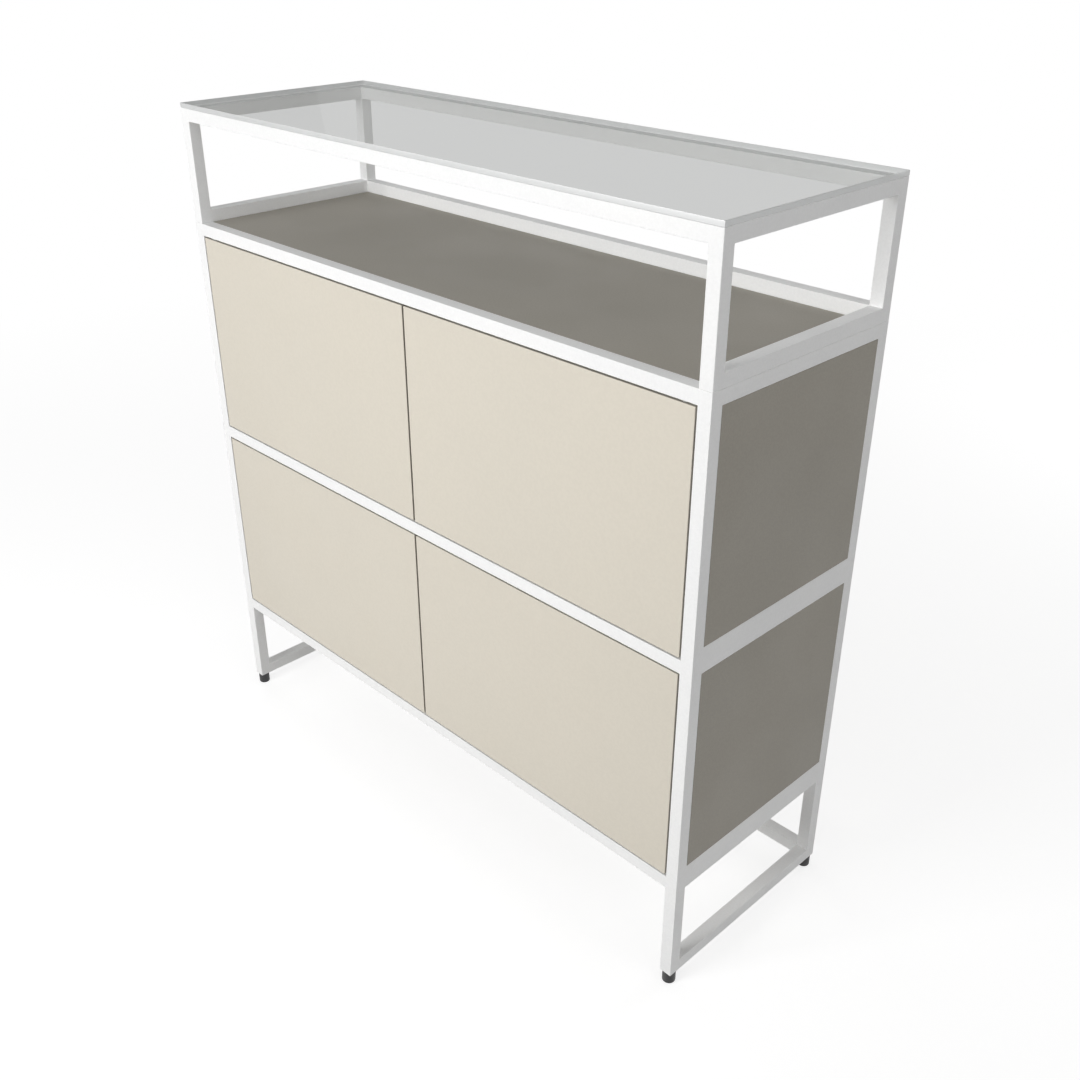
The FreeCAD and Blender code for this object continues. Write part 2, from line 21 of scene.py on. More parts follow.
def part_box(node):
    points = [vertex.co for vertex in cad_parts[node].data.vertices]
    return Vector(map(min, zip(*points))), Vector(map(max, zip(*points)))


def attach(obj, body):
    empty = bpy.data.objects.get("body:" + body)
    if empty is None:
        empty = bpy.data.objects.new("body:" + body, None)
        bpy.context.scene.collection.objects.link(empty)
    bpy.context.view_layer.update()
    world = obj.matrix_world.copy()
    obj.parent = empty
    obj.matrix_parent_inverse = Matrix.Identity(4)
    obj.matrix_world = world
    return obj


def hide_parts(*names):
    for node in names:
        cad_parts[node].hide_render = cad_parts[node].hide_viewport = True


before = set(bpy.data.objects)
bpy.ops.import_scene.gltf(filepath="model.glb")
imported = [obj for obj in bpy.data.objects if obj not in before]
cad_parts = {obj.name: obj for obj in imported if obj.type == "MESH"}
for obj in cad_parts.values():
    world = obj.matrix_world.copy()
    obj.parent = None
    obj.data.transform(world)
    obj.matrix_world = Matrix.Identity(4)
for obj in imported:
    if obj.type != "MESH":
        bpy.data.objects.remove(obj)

LOG = logging.getLogger("highboard")
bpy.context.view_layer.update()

Colour = tuple[float, float, float]
Point = tuple[float, float, float]
Profile = list[tuple[float, float]]
Inputs = dict[str | int, Any]
Socket = bpy.types.NodeSocket
Skin = bmesh.types.BMesh

# The body that does not move, and the attributes of a rounded face and of a point's turn.
FIXED = "frame"
RIM = "rim"
TURN = "turn"
# How near two points are one, to how many digits levels are told apart, and how near counts as touching.
MERGE_DISTANCE = 1e-6
GRID_DIGITS = 6
TOUCH = 2e-4
# The bend up to which two faces are one plane, and the bend past which an edge is sharp.
FLAT_ANGLE = math.radians(1.0)
CREASE_ANGLE = math.radians(32.0)
FLAT_FACE_WEIGHT = 100
# The Mix node's colour sockets go by number, because its other sockets have the same names.
MIX_FIRST = 6
MIX_SECOND = 7
MIX_RESULT = 2
WHITE = (1.0, 1.0, 1.0)
Y_AXIS = 1
Z_AXIS = 2
# Turns a form that stands along Z so that it points along +Y.
ALONG_Y = Matrix(((1, 0, 0), (0, 0, 1), (0, -1, 0))).to_4x4()
ROWS = ("upper", "lower")
SIDES = ("left", "right")
DOOR_PLACES = tuple(f"{row}_{side}" for row in ROWS for side in SIDES)
POST_PLACES = tuple(f"{end}_{side}" for end in ("front", "back") for side in SIDES)


class Slot(Enum):
    """The record's material slots."""

    FRAME = "frame_steel"
    DOOR = "door_lacquer"
    BOARD = "infill_board"
    GLASS = "glass"
    FOOT = "foot_plastic"
    ZINC = "zinc_steel"
    FITTING = "fitting_plastic"


class Grain(Enum):
    """The fine texture of a coated or moulded surface, with its noise's detail or its cells' smoothness."""

    ORANGE_PEEL = 0.5  # soft bumps left by a sprayed coat
    PEARL = 0.6  # small round cells pressed into a foil
    SPARK = 4.0  # the sharp grain of a sparked mould


@dataclass(frozen=True)
class Box:
    """A block, by its lowest and highest corners."""

    low: Vector
    high: Vector

    @classmethod
    def of_node(cls, node: str) -> "Box":
        """Return the box of a CAD node."""
        return cls(*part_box(node))

    @classmethod
    def round_points(cls, points: Sequence[Vector]) -> "Box":
        """Return the box round some points."""
        spread = np.array([point[:] for point in points])
        return cls(Vector(spread.min(axis=0)), Vector(spread.max(axis=0)))

    @property
    def size(self) -> Vector:
        """The block's three lengths."""
        return self.high - self.low

    @property
    def centre(self) -> Vector:
        """The block's middle."""
        return (self.low + self.high) / 2

    def holds(self, point: Vector) -> bool:
        """Return whether a point is in the block or touches it."""
        return all(self.low[i] - TOUCH <= point[i] <= self.high[i] + TOUCH for i in range(3))


def solid_colour(colour: Colour) -> tuple[float, float, float, float]:
    """Return a colour as a socket holds it."""
    return (*colour, 1.0)


class Graph:
    """A node tree with short calls for adding nodes and joining their sockets."""

    def __init__(self, tree: bpy.types.NodeTree) -> None:
        """Keep the tree that nodes go into."""
        self.tree = tree

    @classmethod
    def emptied(cls, owner: bpy.types.Material | bpy.types.World) -> "Graph":
        """Clear the node tree of a material or the world.

        Args:
            owner: the material or the world.

        Returns:
            Its empty tree.
        """
        owner.use_nodes = True
        owner.node_tree.nodes.clear()
        return cls(owner.node_tree)

    def add(self, kind: str, inputs: Inputs | None = None, **settings: Any) -> bpy.types.Node:
        """Add a node.

        Args:
            kind: the node's type.
            inputs: values or sockets for its inputs, by name or number.
            settings: values for its own properties.

        Returns:
            The new node.
        """
        node = self.tree.nodes.new(kind)
        for key, value in settings.items():
            setattr(node, key, value)
        for key, value in (inputs or {}).items():
            self.feed(node.inputs[key], value)
        return node

    def feed(self, socket: Socket, value: Any) -> None:
        """Give an input a plain value, or join it to another node's output.

        Args:
            socket: the input.
            value: the plain value or the other node's output.
        """
        if isinstance(value, Socket):
            self.tree.links.new(value, socket)
        else:
            socket.default_value = value

    def out(self, kind: str, inputs: Inputs | None = None, **settings: Any) -> Socket:
        """Add a node and return its first output."""
        return self.add(kind, inputs, **settings).outputs[0]

    def math(self, operation: str, first: Any, second: Any) -> Socket:
        """Join two numbers by an operation and return the result."""
        return self.out("ShaderNodeMath", {0: first, 1: second}, operation=operation)

    def times(self, value: Any, factor: Any) -> Socket:
        """Return a number multiplied by another."""
        return self.math("MULTIPLY", value, factor)

    def spread(self, value: Any, low: float, high: float, start: float = 0.35, end: float = 0.65) -> Socket:
        """Return a number that goes smoothly from low to high as the value goes from start to end."""
        ranges = {"Value": value, "From Min": start, "From Max": end, "To Min": low, "To Max": high}
        return self.out("ShaderNodeMapRange", ranges, interpolation_type="SMOOTHSTEP")

    def place(self) -> Socket:
        """Return the point on the piece, in the piece's own coordinates."""
        return self.add("ShaderNodeTexCoord").outputs["Object"]

    def noise(self, place: Socket, size: float, detail: float = 3.0) -> Socket:
        """Return soft noise whose spots are about as large as the size says."""
        return self.out("ShaderNodeTexNoise", {"Vector": place, "Scale": 1.0 / size, "Detail": detail})

    def bump(self, height: Socket, relief: float) -> Socket:
        """Return the normal of a surface with a height, which is at most the relief."""
        return self.out("ShaderNodeBump", {"Strength": 1.0, "Distance": relief, "Height": height})

    def blend(self, factor: Any, first: Colour, second: Colour) -> Socket:
        """Return a colour between two others."""
        ends = {0: factor, MIX_FIRST: solid_colour(first), MIX_SECOND: solid_colour(second)}
        return self.add("ShaderNodeMix", ends, data_type="RGBA").outputs[MIX_RESULT]

    def mix(self, factor: Any, first: Socket, second: Socket) -> Socket:
        """Return a shader between two others."""
        return self.out("ShaderNodeMixShader", {0: factor, 1: first, 2: second})

    def join(self, *pieces: Socket) -> Socket:
        """Join several geometries.

        Args:
            pieces: the geometries.

        Returns:
            The socket of all of them.
        """
        node = self.add("GeometryNodeJoinGeometry")
        for piece in pieces:
            self.feed(node.inputs[0], piece)
        return node.outputs[0]

    def boolean(self, operation: str, pieces: Iterable[Socket], first: Socket | None = None) -> Socket:
        """Unite geometries, or cut them out of another one.

        Args:
            operation: the name of the operation.
            pieces: the geometries that are united or cut out.
            first: the geometry that they are cut out of.

        Returns:
            The socket of the result.
        """
        inputs = {} if first is None else {"Mesh 1": first}
        node = self.add("GeometryNodeMeshBoolean", inputs, operation=operation, solver="EXACT")
        for piece in pieces:
            self.feed(node.inputs["Mesh 2"], piece)
        return node.outputs[0]

    def moved(self, geometry: Socket, **offset: Any) -> Socket:
        """Return a geometry moved along the named axes."""
        shift = self.out("ShaderNodeCombineXYZ", offset)
        return self.out("GeometryNodeTransform", {"Geometry": geometry, "Translation": shift})

    def cone(self, radii: tuple[Socket, Socket], height: Any, level: Any, faces: int) -> Socket:
        """Return an upright cone with its bottom at a level, and with the radii of its bottom and top."""
        sizes = {"Vertices": faces, "Radius Bottom": radii[0], "Radius Top": radii[1], "Depth": height}
        return self.moved(self.out("GeometryNodeMeshCone", sizes), Z=level)

    def rod(self, path: Socket, radius: Socket, faces: int) -> Socket:
        """Sweep a round section along a curve.

        Args:
            path: the curve.
            radius: the section's radius.
            faces: the number of faces round it.

        Returns:
            The socket of the closed rod.
        """
        section = self.out("GeometryNodeCurvePrimitiveCircle", {"Resolution": faces, "Radius": radius})
        sweep = {"Curve": path, "Profile Curve": section, "Fill Caps": True}
        return self.out("GeometryNodeCurveToMesh", sweep)


@dataclass(frozen=True)
class Finish:
    """A surface, with the name of its material."""

    name: str

    def material(self) -> bpy.types.Material:
        """Make the finish's material the first time that it is asked for.

        Returns:
            The one material of this finish.
        """
        known = bpy.data.materials.get(self.name)
        if known is not None:
            return known
        material = bpy.data.materials.new(self.name)
        graph = Graph.emptied(material)
        graph.add("ShaderNodeOutputMaterial", {"Surface": self.shade(graph)})
        return material

    def shade(self, graph: Graph) -> Socket:
        """Build the finish's nodes and return the socket of its shader."""
        raise NotImplementedError


@dataclass(frozen=True)
class CoatedFinish(Finish):
    """Paint, lacquer, foil or moulded plastic.

    The tone drifts slowly between two colours, with fine specks. The gloss is uneven and the surface has a
    grain. On the rounded edges the coat is glossier and lighter: worn thin there, with a painted highlight.
    """

    speck_spread: ClassVar[float] = 2.0
    speck_detail: ClassVar[float] = 1.0
    cloud_share: ClassVar[float] = 0.4
    cloud_detail: ClassVar[float] = 4.0
    ior: ClassVar[float] = 1.5
    colour: Colour
    other: Colour
    drift_size: float
    speck: float
    roughness: float
    uneven: float
    grain: Grain
    grain_size: float
    relief: float
    rim_wear_and_highlight: float

    def shade(self, graph: Graph) -> Socket:
        """Build the coat's nodes.

        Args:
            graph: the material's nodes.

        Returns:
            The socket of its shader.
        """
        place = graph.place()
        rim = graph.add("ShaderNodeAttribute", attribute_name=RIM).outputs["Fac"]
        slow = graph.spread(graph.noise(place, self.drift_size), 0.0, 1.0)
        tone = graph.blend(slow, self.colour, self.other)
        fine = graph.noise(place, self.grain_size * self.speck_spread, self.speck_detail)
        specks = graph.spread(fine, 1.0 - self.speck, 1.0 + self.speck)
        # The rounded edges are made lighter: partly wear of a thin coat, partly a painted highlight.
        speck_wear_and_highlight = graph.math("ADD", specks, graph.times(rim, self.rim_wear_and_highlight))
        colour = graph.out("ShaderNodeVectorMath", {0: tone, "Scale": speck_wear_and_highlight}, operation="SCALE")
        cloud = graph.noise(place, self.drift_size * self.cloud_share, self.cloud_detail)
        gloss = graph.spread(cloud, self.roughness - self.uneven, self.roughness + self.uneven)
        worn = graph.math("SUBTRACT", gloss, graph.times(rim, self.uneven))
        normal = graph.bump(self.height(graph, place), self.relief)
        inputs = {"Base Color": colour, "Roughness": worn, "Normal": normal, "IOR": self.ior}
        return graph.out("ShaderNodeBsdfPrincipled", inputs)

    def height(self, graph: Graph, place: Socket) -> Socket:
        """Build the surface's grain.

        Args:
            graph: the material's nodes.
            place: the socket of the point on the piece.

        Returns:
            The socket of the height, from 0 to 1.
        """
        if self.grain is Grain.PEARL:
            cells = {"Vector": place, "Scale": 1.0 / self.grain_size, "Smoothness": self.grain.value}
            return graph.out("ShaderNodeTexVoronoi", cells, feature="SMOOTH_F1")
        return graph.noise(place, self.grain_size, self.grain.value)


@dataclass(frozen=True)
class MetalFinish(Finish):
    """Bright plated steel, brushed along one axis, with a dulled tone in places."""

    colour: Colour
    dulled: Colour
    patch_size: float
    smoothest: float
    roughest: float
    streak: Point
    relief: float

    def shade(self, graph: Graph) -> Socket:
        """Build the metal's nodes.

        Args:
            graph: the material's nodes.

        Returns:
            The socket of its shader.
        """
        place = graph.place()
        lines = graph.noise(graph.out("ShaderNodeMapping", {"Vector": place, "Scale": self.streak}), 1.0)
        patch = graph.spread(graph.noise(place, self.patch_size), 0.0, 1.0)
        tone = graph.blend(patch, self.colour, self.dulled)
        gloss = graph.spread(lines, self.smoothest, self.roughest)
        normal = graph.bump(lines, self.relief)
        inputs = {"Base Color": tone, "Metallic": 1.0, "Roughness": gloss, "Normal": normal}
        return graph.out("ShaderNodeBsdfPrincipled", inputs)


@dataclass(frozen=True)
class GlassFinish(Finish):
    """A polished face of the plate: lightly grey, with a soft mirror that grows towards a flat view."""

    tint: Colour
    haze_size: float
    smoothest: float
    roughest: float
    mirror_least: float
    mirror_most: float
    mirror_start: float
    facing_blend: float

    def shade(self, graph: Graph) -> Socket:
        """Build the glass's nodes.

        Args:
            graph: the material's nodes.

        Returns:
            The socket of its shader.
        """
        facing = graph.add("ShaderNodeLayerWeight", {"Blend": self.facing_blend}).outputs["Facing"]
        mirror = graph.spread(facing, self.mirror_least, self.mirror_most, self.mirror_start, 1.0)
        haze = graph.spread(graph.noise(graph.place(), self.haze_size), self.smoothest, self.roughest)
        clear = graph.out("ShaderNodeBsdfTransparent", {"Color": solid_colour(self.tint)})
        shine = graph.out("ShaderNodeBsdfGlossy", {"Color": solid_colour(WHITE), "Roughness": haze})
        return graph.mix(mirror, clear, shine)


@dataclass(frozen=True)
class GlassEdgeFinish(Finish):
    """The plate's ground edge: silky, nearly closed, and bright from the light that it throws back."""

    colour: Colour
    other: Colour
    drift_size: float
    tint: Colour
    solid: float
    gloss_size: float
    smoothest: float
    roughest: float
    ior: float
    sheen: float

    def shade(self, graph: Graph) -> Socket:
        """Build the edge's nodes.

        Args:
            graph: the material's nodes.

        Returns:
            The socket of its shader.
        """
        place = graph.place()
        slow = graph.spread(graph.noise(place, self.drift_size), 0.0, 1.0)
        tone = graph.blend(slow, self.colour, self.other)
        gloss = graph.spread(graph.noise(place, self.gloss_size), self.smoothest, self.roughest)
        clear = graph.out("ShaderNodeBsdfTransparent", {"Color": solid_colour(self.tint)})
        ground = {"Base Color": tone, "Roughness": gloss, "IOR": self.ior, "Specular IOR Level": self.sheen}
        return graph.mix(self.solid, clear, graph.out("ShaderNodeBsdfPrincipled", ground))


POWDER_COAT = CoatedFinish(
    name="white_powder_coat",
    colour=(0.915, 0.915, 0.91),
    other=(0.9, 0.902, 0.9),
    drift_size=0.22,
    speck=0.012,
    roughness=0.46,
    uneven=0.05,
    grain=Grain.ORANGE_PEEL,
    grain_size=0.0016,
    relief=2.2e-5,
    rim_wear_and_highlight=0.02,
)
DOOR_LACQUER = CoatedFinish(
    name="beige_door_lacquer",
    colour=(0.685, 0.637, 0.546),
    other=(0.677, 0.631, 0.542),
    drift_size=0.3,
    speck=0.01,
    roughness=0.5,
    uneven=0.05,
    grain=Grain.ORANGE_PEEL,
    grain_size=0.0024,
    relief=2.0e-5,
    rim_wear_and_highlight=0.03,
)
# Painted shade: a darker copy of the door lacquer goes on the doors' edge faces, so that the seams between
# the doors look shaded.
DOOR_EDGE_SEAM_SHADE = CoatedFinish(
    name="taupe_door_edge",
    colour=(0.4, 0.373, 0.321),
    other=(0.392, 0.367, 0.318),
    drift_size=0.3,
    speck=0.02,
    roughness=0.55,
    uneven=0.04,
    grain=Grain.PEARL,
    grain_size=0.0014,
    relief=2.0e-5,
    rim_wear_and_highlight=0.03,
)
BOARD_FOIL = CoatedFinish(
    name="taupe_board_foil",
    colour=(0.357, 0.333, 0.287),
    other=(0.351, 0.329, 0.285),
    drift_size=0.3,
    speck=0.03,
    roughness=0.58,
    uneven=0.03,
    grain=Grain.PEARL,
    grain_size=0.0014,
    relief=3.0e-5,
    rim_wear_and_highlight=0.05,
)
FOOT_PLASTIC = CoatedFinish(
    name="black_foot_plastic",
    colour=(0.023, 0.023, 0.024),
    other=(0.03, 0.03, 0.031),
    drift_size=0.02,
    speck=0.12,
    roughness=0.5,
    uneven=0.08,
    grain=Grain.SPARK,
    grain_size=0.0006,
    relief=2.5e-5,
    rim_wear_and_highlight=0.25,
)
FITTING_PLASTIC = CoatedFinish(
    name="grey_fitting_plastic",
    colour=(0.33, 0.335, 0.34),
    other=(0.36, 0.362, 0.365),
    drift_size=0.03,
    speck=0.05,
    roughness=0.44,
    uneven=0.06,
    grain=Grain.SPARK,
    grain_size=0.0005,
    relief=1.5e-5,
    rim_wear_and_highlight=0.08,
)
BUFFER_RUBBER = CoatedFinish(
    name="dark_buffer_rubber",
    colour=(0.06, 0.06, 0.062),
    other=(0.075, 0.074, 0.074),
    drift_size=0.01,
    speck=0.08,
    roughness=0.72,
    uneven=0.06,
    grain=Grain.SPARK,
    grain_size=0.0004,
    relief=2.0e-5,
    rim_wear_and_highlight=0.15,
)
ZINC_STEEL = MetalFinish(
    name="bright_zinc_steel",
    colour=(0.72, 0.73, 0.745),
    dulled=(0.6, 0.605, 0.615),
    patch_size=0.006,
    smoothest=0.22,
    roughest=0.4,
    streak=(900.0, 900.0, 60.0),
    relief=6e-6,
)
PLATE_GLASS = GlassFinish(
    name="clear_grey_glass",
    tint=(0.92, 0.925, 0.922),
    haze_size=0.09,
    smoothest=0.015,
    roughest=0.045,
    mirror_least=0.035,
    mirror_most=0.12,
    mirror_start=0.2,
    facing_blend=0.3,
)
GLASS_EDGE = GlassEdgeFinish(
    name="ground_glass_edge",
    colour=(0.56, 0.569, 0.566),
    other=(0.54, 0.551, 0.547),
    drift_size=0.05,
    tint=(0.92, 0.935, 0.93),
    solid=0.82,
    gloss_size=0.02,
    smoothest=0.46,
    roughest=0.54,
    ior=2.4,
    sheen=1.0,
)


def solids_in(node: str) -> list[list[Vector]]:
    """Find the separate solids in a CAD node.

    Args:
        node: the node's name.

    Returns:
        One list of points for each solid.
    """
    mesh = bmesh.new()
    mesh.from_mesh(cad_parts[node].data)
    bmesh.ops.remove_doubles(mesh, verts=mesh.verts, dist=MERGE_DISTANCE)
    waiting = set(mesh.faces)
    solids = []
    for seed in mesh.faces:
        if seed not in waiting:
            continue
        waiting.discard(seed)
        island = [seed]
        for face in island:
            inner_edges = [edge for edge in face.edges if len(edge.link_faces) == 2]
            for beside in (other for edge in inner_edges for other in edge.link_faces):
                if beside in waiting:
                    waiting.discard(beside)
                    island.append(beside)
        solids.append([vertex.co.copy() for face in island for vertex in face.verts])
    mesh.free()
    return solids


def boxes_in(nodes: Iterable[str]) -> list[Box]:
    """Return the box of every solid in some CAD nodes."""
    return [Box.round_points(points) for node in nodes for points in solids_in(node)]


def unit(axis: int, sign: float) -> Vector:
    """Return the unit vector along an axis, forwards or backwards."""
    return Vector([sign if index == axis else 0.0 for index in range(3)])


def wide_end(points: Sequence[Vector], axis: int) -> tuple[Vector, Vector]:
    """Find the end at which a turned solid is widest.

    Args:
        points: the solid's points.
        axis: the number of the axis that it is turned about.

    Returns:
        The middle of that end's face, and the direction from it into the solid.
    """
    box = Box.round_points(points)
    levels = {1.0: box.low[axis], -1.0: box.high[axis]}
    reach = {}
    for sign, level in levels.items():
        end = [point for point in points if abs(point[axis] - level) < TOUCH]
        reach[sign] = max((point - box.centre).length for point in end)
    sign = max(reach, key=reach.get)
    face = box.centre
    face[axis] = levels[sign]
    return face, unit(axis, sign)


def place_along(point: Vector, direction: Vector) -> Matrix:
    """Return the place of a form that stands at a point, with its Z axis along a direction."""
    return Matrix.Translation(point) @ direction.to_track_quat("Z", "Y").to_matrix().to_4x4()


def welded_skin(solids: Sequence[Box], hollows: Sequence[Box] = ()) -> Skin:
    """Make one closed skin round blocks that touch or overlap.

    Args:
        solids: the blocks.
        hollows: blocks of space that are cut out of them.

    Returns:
        The skin, with outward faces.
    """
    ticks = []
    for axis in range(3):
        levels = [corner[axis] for box in (*solids, *hollows) for corner in (box.low, box.high)]
        ticks.append(np.unique(np.round(levels, GRID_DIGITS)))
    filled = np.zeros([len(levels) - 1 for levels in ticks], bool)
    for boxes, state in ((solids, True), (hollows, False)):
        for box in boxes:
            pairs = [np.round((box.low[i], box.high[i]), GRID_DIGITS) for i in range(3)]
            ends = [np.searchsorted(ticks[i], pairs[i]) for i in range(3)]
            filled[tuple(slice(*pair) for pair in ends)] = state
    skin = bmesh.new()
    corners: dict[tuple[int, ...], bmesh.types.BMVert] = {}
    for axis in range(3):
        margins = [(1, 1) if i == axis else (0, 0) for i in range(3)]
        steps = np.diff(np.pad(filled, margins).astype(np.int8), axis=axis)
        for cell in np.argwhere(steps):
            loop = []
            for along, across in ((0, 0), (1, 0), (1, 1), (0, 1)):
                key = [int(index) for index in cell]
                key[(axis + 1) % 3] += along
                key[(axis + 2) % 3] += across
                loop.append(tuple(key))
            if steps[tuple(cell)] > 0:
                loop.reverse()
            for key in loop:
                if key not in corners:
                    corners[key] = skin.verts.new([ticks[i][key[i]] for i in range(3)])
            skin.faces.new([corners[key] for key in loop])
    bmesh.ops.dissolve_limit(skin, angle_limit=FLAT_ANGLE, verts=skin.verts, edges=skin.edges)
    return skin


def soften(skin: Skin, radius: float, segments: int) -> None:
    """Round the sharp edges of a skin and mark the rounded faces as its rim.

    Args:
        skin: the closed skin.
        radius: how far the rounding reaches from an edge.
        segments: the number of faces across it.
    """
    rim = skin.faces.layers.float.get(RIM) or skin.faces.layers.float.new(RIM)
    made = bmesh.ops.bevel(
        skin,
        geom=[edge for edge in skin.edges if edge.calc_face_angle(0.0) > FLAT_ANGLE],
        offset=radius,
        offset_type="OFFSET",
        segments=segments,
        profile=0.5,
        affect="EDGES",
        clamp_overlap=True,
        loop_slide=True,
    )
    for face in made["faces"]:
        face[rim] = 1.0


def soft_block(node: str, radius: float, segments: int) -> Skin:
    """Make a softly rounded block in the place of a CAD node.

    Args:
        node: the node's name.
        radius: how far the rounding reaches from an edge.
        segments: the number of faces across it.

    Returns:
        The block's skin.
    """
    skin = welded_skin([Box.of_node(node)])
    soften(skin, radius, segments)
    return skin


def mark_edges(skin: Skin, axis: int, limit: float) -> None:
    """Give a plate's edges the second of its finishes.

    Args:
        skin: the plate's skin.
        axis: the number of the axis across the plate.
        limit: how far along that axis an edge's unit normal may reach.
    """
    for face in skin.faces:
        face.normal_update()
        face.material_index = int(abs(face.normal[axis]) < limit)


def turn_profile(
    skin: Skin, profile: Profile, place: Matrix, steps: int = 40, closed: bool = False
) -> None:
    """Turn a profile about an axis.

    Args:
        skin: the mesh that the turned form is added to.
        profile: points as distance from the axis and height along it; one on the axis closes an end.
        place: puts the form, whose axis is Z, where it belongs.
        steps: the number of faces round it.
        closed: whether the profile is a loop, as for a ring.
    """
    rings = []
    for radius, height in profile:
        count = steps if radius > MERGE_DISTANCE else 1
        angles = [2.0 * math.pi * step / steps for step in range(count)]
        points = [Vector((radius * math.cos(a), radius * math.sin(a), height)) for a in angles]
        rings.append([skin.verts.new(place @ point) for point in points])
    pairs = list(zip(rings, rings[1:]))
    if closed:
        pairs.append((rings[-1], rings[0]))
    for lower, upper in pairs:
        for step in range(steps):
            after = (step + 1) % steps
            loop = [lower[step % len(lower)], lower[after % len(lower)]]
            loop += [upper[after % len(upper)], upper[step % len(upper)]]
            skin.faces.new(list(dict.fromkeys(loop)))


def rounded_corner(radius: float, height: float, rounding: float, upwards: bool, steps: int = 4) -> Profile:
    """Work out profile points round an outer corner.

    Args:
        radius: the form's radius at the corner.
        height: the level of the face that the corner ends.
        rounding: the corner's own radius.
        upwards: whether the profile runs up from that face, or up to it.
        steps: the number of faces round the corner.

    Returns:
        The points from the lower to the upper end.
    """
    points = []
    for step in range(steps + 1):
        angle = math.pi / 2.0 * step / steps
        sine, cosine = math.sin(angle), math.cos(angle)
        out, up = (sine, 1.0 - cosine) if upwards else (cosine, sine - 1.0)
        points.append((radius - rounding + rounding * out, height + rounding * up))
    return points


def new_object(name: str, data: bpy.types.ID) -> bpy.types.Object:
    """Put a new object in the scene.

    Args:
        name: the object's name.
        data: its mesh, lamp or camera.

    Returns:
        The object.
    """
    thing = bpy.data.objects.new(name, data)
    bpy.context.scene.collection.objects.link(thing)
    return thing


def settled_mesh(holder: bpy.types.Object, name: str) -> bpy.types.Mesh:
    """Work an object's modifiers into its mesh, and remove the object.

    Args:
        holder: the object.
        name: the name of the finished mesh.

    Returns:
        The finished mesh.
    """
    state = bpy.context.evaluated_depsgraph_get()
    settled = holder.evaluated_get(state)
    mesh = bpy.data.meshes.new_from_object(settled, preserve_all_data_layers=True, depsgraph=state)
    raw = holder.data
    bpy.data.objects.remove(holder)
    bpy.data.meshes.remove(raw)
    mesh.name = name
    return mesh


def shade_smooth(mesh: bpy.types.Mesh) -> None:
    """Shade a mesh smooth, except over its creases."""
    mesh.shade_smooth()
    mesh.set_sharp_from_angle(angle=CREASE_ANGLE)


def dress_node(node: str, finish: Finish) -> None:
    """Give a finish to a CAD node that keeps its own shape.

    Args:
        node: the node's name.
        finish: what it is made of.
    """
    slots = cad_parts[node].data.materials
    slots.clear()
    slots.append(finish.material())
    LOG.info("%s keeps its CAD shape: %s", node, finish.name)


@dataclass
class RepeatTree:
    """A Geometry Nodes tree that sets one form on every point of a mesh, turned as the point says.

    The fields of each kind of tree are its named inputs.
    """

    name: ClassVar[str]

    def labels(self) -> dict[str, str]:
        """Return the name of each input, by its field."""
        return {item.name: item.name.replace("_", " ").title() for item in fields(self)}

    def form(self, graph: Graph, size: SimpleNamespace) -> Socket:
        """Build the form that repeats and return the socket of its geometry."""
        raise NotImplementedError

    def tree(self, finish: Finish) -> bpy.types.NodeTree:
        """Build the tree.

        Args:
            finish: the finish that it sets at its end.

        Returns:
            The tree, with its named inputs.
        """
        tree = bpy.data.node_groups.new(self.name, "GeometryNodeTree")
        interface = tree.interface
        interface.new_socket("Points", in_out="INPUT", socket_type="NodeSocketGeometry")
        for label in self.labels().values():
            interface.new_socket(label, in_out="INPUT", socket_type="NodeSocketFloat")
        interface.new_socket("Forms", in_out="OUTPUT", socket_type="NodeSocketGeometry")
        graph = Graph(tree)
        entry = graph.add("NodeGroupInput").outputs
        sockets = {field: entry[label] for field, label in self.labels().items()}
        form = self.form(graph, SimpleNamespace(**sockets))
        turn = graph.out("GeometryNodeInputNamedAttribute", {"Name": TURN}, data_type="FLOAT_VECTOR")
        rotation = graph.out("FunctionNodeEulerToRotation", {"Euler": turn})
        spots = {"Points": entry["Points"], "Instance": form, "Rotation": rotation}
        copies = graph.out("GeometryNodeInstanceOnPoints", spots)
        real = graph.out("GeometryNodeRealizeInstances", {"Geometry": copies})
        dressed = graph.out("GeometryNodeSetMaterial", {"Geometry": real, "Material": finish.material()})
        graph.add("NodeGroupOutput", {0: dressed})
        return tree

    def grow(self, name: str, places: Sequence[Matrix], finish: Finish) -> bpy.types.Mesh:
        """Set the form at each place.

        Args:
            name: the mesh's name.
            places: where each copy goes.
            finish: what it is made of.

        Returns:
            One plain mesh of all the copies.
        """
        points = bpy.data.meshes.new(name + "_points")
        points.from_pydata([place.translation[:] for place in places], [], [])
        turns = points.attributes.new(TURN, "FLOAT_VECTOR", "POINT")
        turns.data.foreach_set("vector", [angle for place in places for angle in place.to_euler()])
        holder = new_object(name + "_holder", points)
        modifier = holder.modifiers.new(self.name, "NODES")
        modifier.node_group = self.tree(finish)
        identifiers = {item.name: item.identifier for item in modifier.node_group.interface.items_tree}
        for field, label in self.labels().items():
            modifier[identifiers[label]] = getattr(self, field)
        mesh = settled_mesh(holder, name)
        skin = bmesh.new()
        skin.from_mesh(mesh)
        bmesh.ops.remove_doubles(skin, verts=skin.verts, dist=MERGE_DISTANCE)
        bmesh.ops.recalc_face_normals(skin, faces=skin.faces)
        skin.to_mesh(mesh)
        skin.free()
        shade_smooth(mesh)
        return mesh


